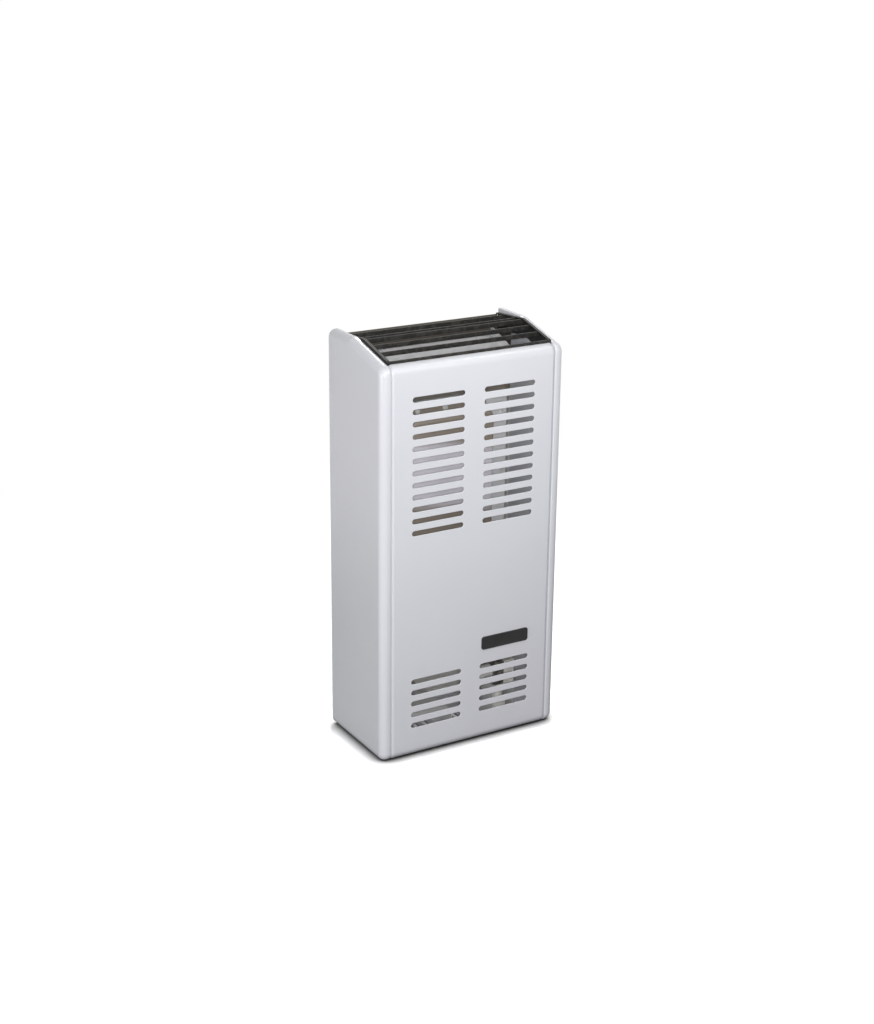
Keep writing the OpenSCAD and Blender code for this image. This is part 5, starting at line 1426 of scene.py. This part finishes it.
class HEATER_OT_controls(Builder, bpy.types.Operator):
    """Builds the control plate with its dial marks, the igniter's barrel and its button"""
    bl_idname = "heater.controls"
    bl_label = "Control Plate and Igniter"
    # Where the button's bore in the barrel ends, and its radius
    BORE_END, BORE = 123 * MM, 6.05 * MM

    def execute(self, context):
        cabinet, s = context.scene.heater_cabinet, context.scene.heater_controls
        low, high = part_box("control_plate")
        knob, igniter = middle_of("valve_spindle"), middle_of("igniter_barrel")
        centre = ((low.y + high.y) / 2, (low.z + high.z) / 2)
        outline = rounded_rectangle(high.y - low.y, high.z - low.z, s.plate_corner, 8, centre)
        holes = [circle(knob[1:], cabinet.spindle_hole, 40), circle(igniter[1:], cabinet.igniter_hole, 48)]
        plate = holed_plate(outline, holes, low.x, high.x)
        mesh = rounded_edges(joined(mesh_of("plate", *plate)), 0.5 * MM, 60)
        replace("control_plate", mesh, ROUNDED_ANGLE)
        self.dial(s, high.x, knob)
        self.igniter(high.x, igniter)
        return {"FINISHED"}

    def dial(self, s, level, knob):
        """Raised marks round the knob, one for each step of its turn."""
        turns = [math.radians(90 + 30 * step) for step in range(s.marks)]
        marks = [(level + 0.02 * MM, knob.y - s.dial * math.cos(t), knob.z + s.dial * math.sin(t))
                 for t in turns]
        seed = point_mesh("dial_points", marks, "turn", [(0, 0, 0)] * len(marks))
        values = {"Length": 0.3 * MM, "Thickness": s.mark, "Height": s.mark, "Edge": s.mark / 2 - 0.05 * MM,
                  "Finish": mark_white()}
        mesh = joined(grown("dial_marks", seed, tree_named("Bars On Points", bars_tree), values))
        piece("dial_marks", mesh, mark_white())

    def igniter(self, plate, axis):
        """The barrel, whose flange rests on the plate, and the button in its bore."""
        tail, face = (corner.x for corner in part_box("igniter_barrel"))
        rows = rows_from(tail, 0, (0, 0), (0, 2.3), (0.3, 2.5), (6, 2.5), (6, 7.6), (6.4, 8))
        rows += rows_from(plate, 0, (0, 8), (0, 10.2), (0.3, 10.5))
        rows += rows_from(face, 0, (-0.9, 10.5), (-0.25, 10.2), (0, 9.5), (0, 7.2), (-0.3, 6.6), (-0.8, 6.35),
                          (-1.2, 6.05))
        rows += [(self.BORE_END, self.BORE), (self.BORE_END, 0)]
        replace("igniter_barrel", turned(rows, along_x(axis)))
        tail, face = (corner.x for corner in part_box("igniter_button"))
        rows = rows_from(tail, 0, (0, 0), (0, 5.7), (0.3, 6))
        rows += rows_from(face, 0, (-1.2, 6), (-0.6, 5.85), (-0.2, 5.5), (0, 4.9), (-0.1, 4.2), (-0.45, 2.6),
                          (-0.6, 1.0), (-0.62, 0))
        replace("igniter_button", turned(rows, along_x(axis)))


class HEATER_OT_flue(Builder, bpy.types.Operator):
    """Builds the intake collar and the exhaust pipe with their flanges"""
    bl_idname = "heater.flue"
    bl_label = "Flue"

    def execute(self, context):
        axis = middle_of("intake_collar")
        self.flanged_pipe("intake_collar", axis, 49, 50, 58)
        self.flanged_pipe("exhaust_pipe", axis, 30, 31, 38)
        return {"FINISHED"}

    def flanged_pipe(self, node, axis, inner, outer, flange):
        """A pipe with a flange 1 mm thick at its front end, with its radii in millimetres."""
        low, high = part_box(node)
        rows = rows_from(low.y, 0, (0, inner), (0, flange - 0.4), (0.2, flange), (0.8, flange),
                         (1, flange - 0.4), (1, outer + 0.6), (1.4, outer + 0.1), (2, outer))
        rows += rows_from(high.y, 0, (-0.5, outer), (-0.15, outer - 0.15), (0, (outer + inner) / 2),
                          (-0.15, inner + 0.15), (-0.5, inner))
        rows += rows_from(low.y, 0, (0, inner))
        replace(node, turned(rows, along_y(axis), 96))


class HEATER_OT_soft_edges(Builder, bpy.types.Operator):
    """Rounds the edges of the sheet and machined pieces whose shape the frame already has"""
    bl_idname = "heater.soft_edges"
    bl_label = "Softened Pieces"
    # Width of the rounding in millimetres
    WIDTHS = {
        "base_tray": 0.2, "inlet_shield": 0.25, "back_plate": 0.15, "chamber_brackets": 0.25,
        "air_duct": 0.2, "duct_walls": 0.2, "burner_brackets": 0.2, "gas_valve_body": 0.8,
        "valve_bonnet": 0.4, "magnet_unit": 0.4, "valve_bracket": 0.25, "gas_inlet_union": 0.4,
        "tube_nuts": 0.3, "igniter_nut": 0.3, "sight_frame": 0.35, "pilot_plate": 0.2, "injector_holder": 0.3,
    }

    def execute(self, context):
        for node, width in self.WIDTHS.items():
            replace_rounded(node, width * MM)
        return {"FINISHED"}


class HEATER_OT_finishes(Builder, bpy.types.Operator):
    """Gives every frame piece that still shows its finish"""
    bl_idname = "heater.finishes"
    bl_label = "Finishes"

    def execute(self, context):
        for node, obj in frame["nodes"].items():
            obj.data.materials.clear()
            obj.data.materials.append(coat_of(node))
        return {"FINISHED"}


class HEATER_OT_stage(Builder, bpy.types.Operator):
    """Sets the floor, the surrounding light, the lamps and the camera"""
    bl_idname = "heater.stage"
    bl_label = "Stage"
    # Each lamp's place, the point that it faces, and its width and height; the key lamp stands at the camera
    LAMPS = {
        "key_lamp": (None, (0.0, -0.1, 0.33), (0.2, 0.2)),
        "side_lamp": ((-1.9, -0.6, 0.35), (-0.1, -0.05, 0.2), (0.6, 0.6)),
        "top_lamp": ((0.0, -0.62, 0.86), (0.0, -0.15, 0.45), (0.6, 0.2)),
        "back_lamp": ((0.9, 1.3, 1.9), (0.0, -0.1, 0.2), (0.5, 0.5)),
        "brow_lamp": ((0.7, -0.6, 1.6), (0.0, -0.13, 0.57), (0.3, 0.3)),
    }
    FLOOR_LEVEL, FLOOR_RADIUS, FLOOR_SIDES = -0.5 * MM, 9.0, 96
    # The floor's own tones, and the distances between which it fades into white
    FLOOR_TONES, FADE = (0.34, 0.36), (0.45, 1.3)

    def execute(self, context):
        scene = context.scene
        t = scene.heater_stage
        self.floor(scene, t)
        self.surroundings(scene, t)
        for name, (place, target, sides) in self.LAMPS.items():
            self.lamp(scene, name, place or t.camera_place, target, sides, getattr(t, name))
        self.camera(scene, t)
        scene.view_settings.view_transform = "Standard"
        return {"FINISHED"}

    def seen(self, tree):
        """One for rays from the camera, or mirrored or let through by a piece, and nought for the rest."""
        path = add(tree, "ShaderNodeLightPath").outputs
        either = calc(tree, "MAXIMUM", path["Is Camera Ray"], path["Is Glossy Ray"])
        return calc(tree, "MAXIMUM", either, path["Is Transmission Ray"])

    def floor(self, scene, t):
        """A pale disc with a painted contact shadow that darkens it along the heater's foot, turning into the
        white surroundings further out."""
        points = [(x, y, self.FLOOR_LEVEL) for x, y in circle((0, 0), self.FLOOR_RADIUS, self.FLOOR_SIDES)]
        ground = bpy.data.objects.new("floor", mesh_of("floor", points, [tuple(range(self.FLOOR_SIDES))]))
        scene.collection.objects.link(ground)
        paint = bpy.data.materials.new("pale_floor")
        paint.use_nodes = True
        tree = paint.node_tree
        tree.nodes.clear()
        place = add(tree, "ShaderNodeTexCoord").outputs["Object"]
        tone = ramp(tree, noise(tree, place, 40.0, 4.0)[0], 0.3, 0.7, *self.FLOOR_TONES)
        looked_at = add(tree, "ShaderNodeLightPath").outputs["Is Camera Ray"]
        gain = plus(tree, 1.0, times(tree, looked_at, t.floor_gain - 1))
        # Painted contact shadow: ambient occlusion darkens the floor near the heater's foot
        near = add(tree, "ShaderNodeAmbientOcclusion", {"Distance": t.contact_reach}).outputs["AO"]
        level = times(tree, times(tree, tone, gain), calc(tree, "POWER", near, 2.0))
        matt = add(tree, "ShaderNodeBsdfDiffuse", {"Color": xyz(tree, level, level, level)}).outputs[0]
        glow = add(tree, "ShaderNodeEmission", {"Color": (1, 1, 1, 1), "Strength": 1.0}).outputs[0]
        away = vec(tree, "MULTIPLY", place, (1, 1, 0))
        reach = add(tree, "ShaderNodeVectorMath", {0: away}, operation="LENGTH").outputs["Value"]
        far = times(tree, ramp(tree, reach, *self.FADE), self.seen(tree))
        mixed = add(tree, "ShaderNodeMixShader", {0: far, 1: matt, 2: glow}).outputs[0]
        add(tree, "ShaderNodeOutputMaterial", {0: mixed})
        ground.data.materials.append(paint)

    def surroundings(self, scene, t):
        """White where they are looked at, and a low even light on the heater."""
        world = bpy.data.worlds.new("plain_surroundings")
        world.use_nodes = True
        tree = world.node_tree
        tree.nodes.clear()
        level = plus(tree, t.world_level, times(tree, self.seen(tree), 1.0 - t.world_level))
        sky = add(tree, "ShaderNodeBackground", {"Color": (1, 1, 1, 1), "Strength": level}).outputs[0]
        add(tree, "ShaderNodeOutputWorld", {0: sky})
        scene.world = world

    def lamp(self, scene, name, place, target, sides, watts):
        light = bpy.data.lights.new(name, "AREA")
        light.shape = "RECTANGLE"
        light.size, light.size_y = sides
        light.energy = watts
        made = bpy.data.objects.new(name, light)
        scene.collection.objects.link(made)
        made.location = place
        made.rotation_euler = (Vector(target) - Vector(place)).to_track_quat("-Z", "Y").to_euler()

    def camera(self, scene, t):
        lens = bpy.data.cameras.new("camera")
        lens.sensor_width = SENSOR
        lens.lens = t.focal_pixels * SENSOR / max(PICTURE)
        lens.shift_x = (PICTURE[0] / 2 - t.centre_x) / max(PICTURE)
        lens.shift_y = (t.centre_y - PICTURE[1] / 2) / max(PICTURE)
        made = bpy.data.objects.new("camera", lens)
        scene.collection.objects.link(made)
        made.location = t.camera_place
        level = math.cos(t.elevation)
        forward = Vector((math.sin(t.azimuth) * level, math.cos(t.azimuth) * level, -math.sin(t.elevation)))
        turn = forward.to_track_quat("-Z", "Y") @ Quaternion((0, 0, 1), t.roll)
        made.rotation_euler = turn.to_euler()
        scene.camera = made


BUILDERS = (HEATER_OT_front_panel, HEATER_OT_cheeks, HEATER_OT_badge, HEATER_OT_grille,
            HEATER_OT_fasteners, HEATER_OT_heat_exchanger, HEATER_OT_knob, HEATER_OT_controls,
            HEATER_OT_flue, HEATER_OT_soft_edges, HEATER_OT_finishes, HEATER_OT_stage)
GROUPS = {"heater_cabinet": CabinetSizes, "heater_panel": PanelSizes, "heater_grille": GrilleSizes,
          "heater_chamber": ChamberSizes, "heater_controls": ControlSizes, "heater_colours": HeaterColours,
          "heater_stage": StageSettings}


class HEATER_PT_sidebar(bpy.types.Panel):
    """Lists the heater's sizes, colours and builders"""
    bl_label = "Wall Mounted Gas Heater"
    bl_idname = "HEATER_PT_sidebar"
    bl_space_type = "VIEW_3D"
    bl_region_type = "UI"
    bl_category = "Heater"

    def draw(self, context):
        for attribute, group in GROUPS.items():
            box = self.layout.box()
            box.label(text=group.__doc__)
            for name in group.__annotations__:
                box.prop(getattr(context.scene, attribute), name)
        for operator in BUILDERS:
            self.layout.operator(operator.bl_idname)


CLASSES = (*GROUPS.values(), *BUILDERS, HEATER_PT_sidebar)


def register():
    for made in CLASSES:
        bpy.utils.register_class(made)
    for attribute, group in GROUPS.items():
        setattr(bpy.types.Scene, attribute, PointerProperty(type=group))


def unregister():
    for attribute in GROUPS:
        delattr(bpy.types.Scene, attribute)
    for made in reversed(CLASSES):
        bpy.utils.unregister_class(made)


def main():
    register()
    for operator in BUILDERS:
        group, name = operator.bl_idname.split(".")
        getattr(getattr(bpy.ops, group), name)()


if __name__ == "__main__":
    main()
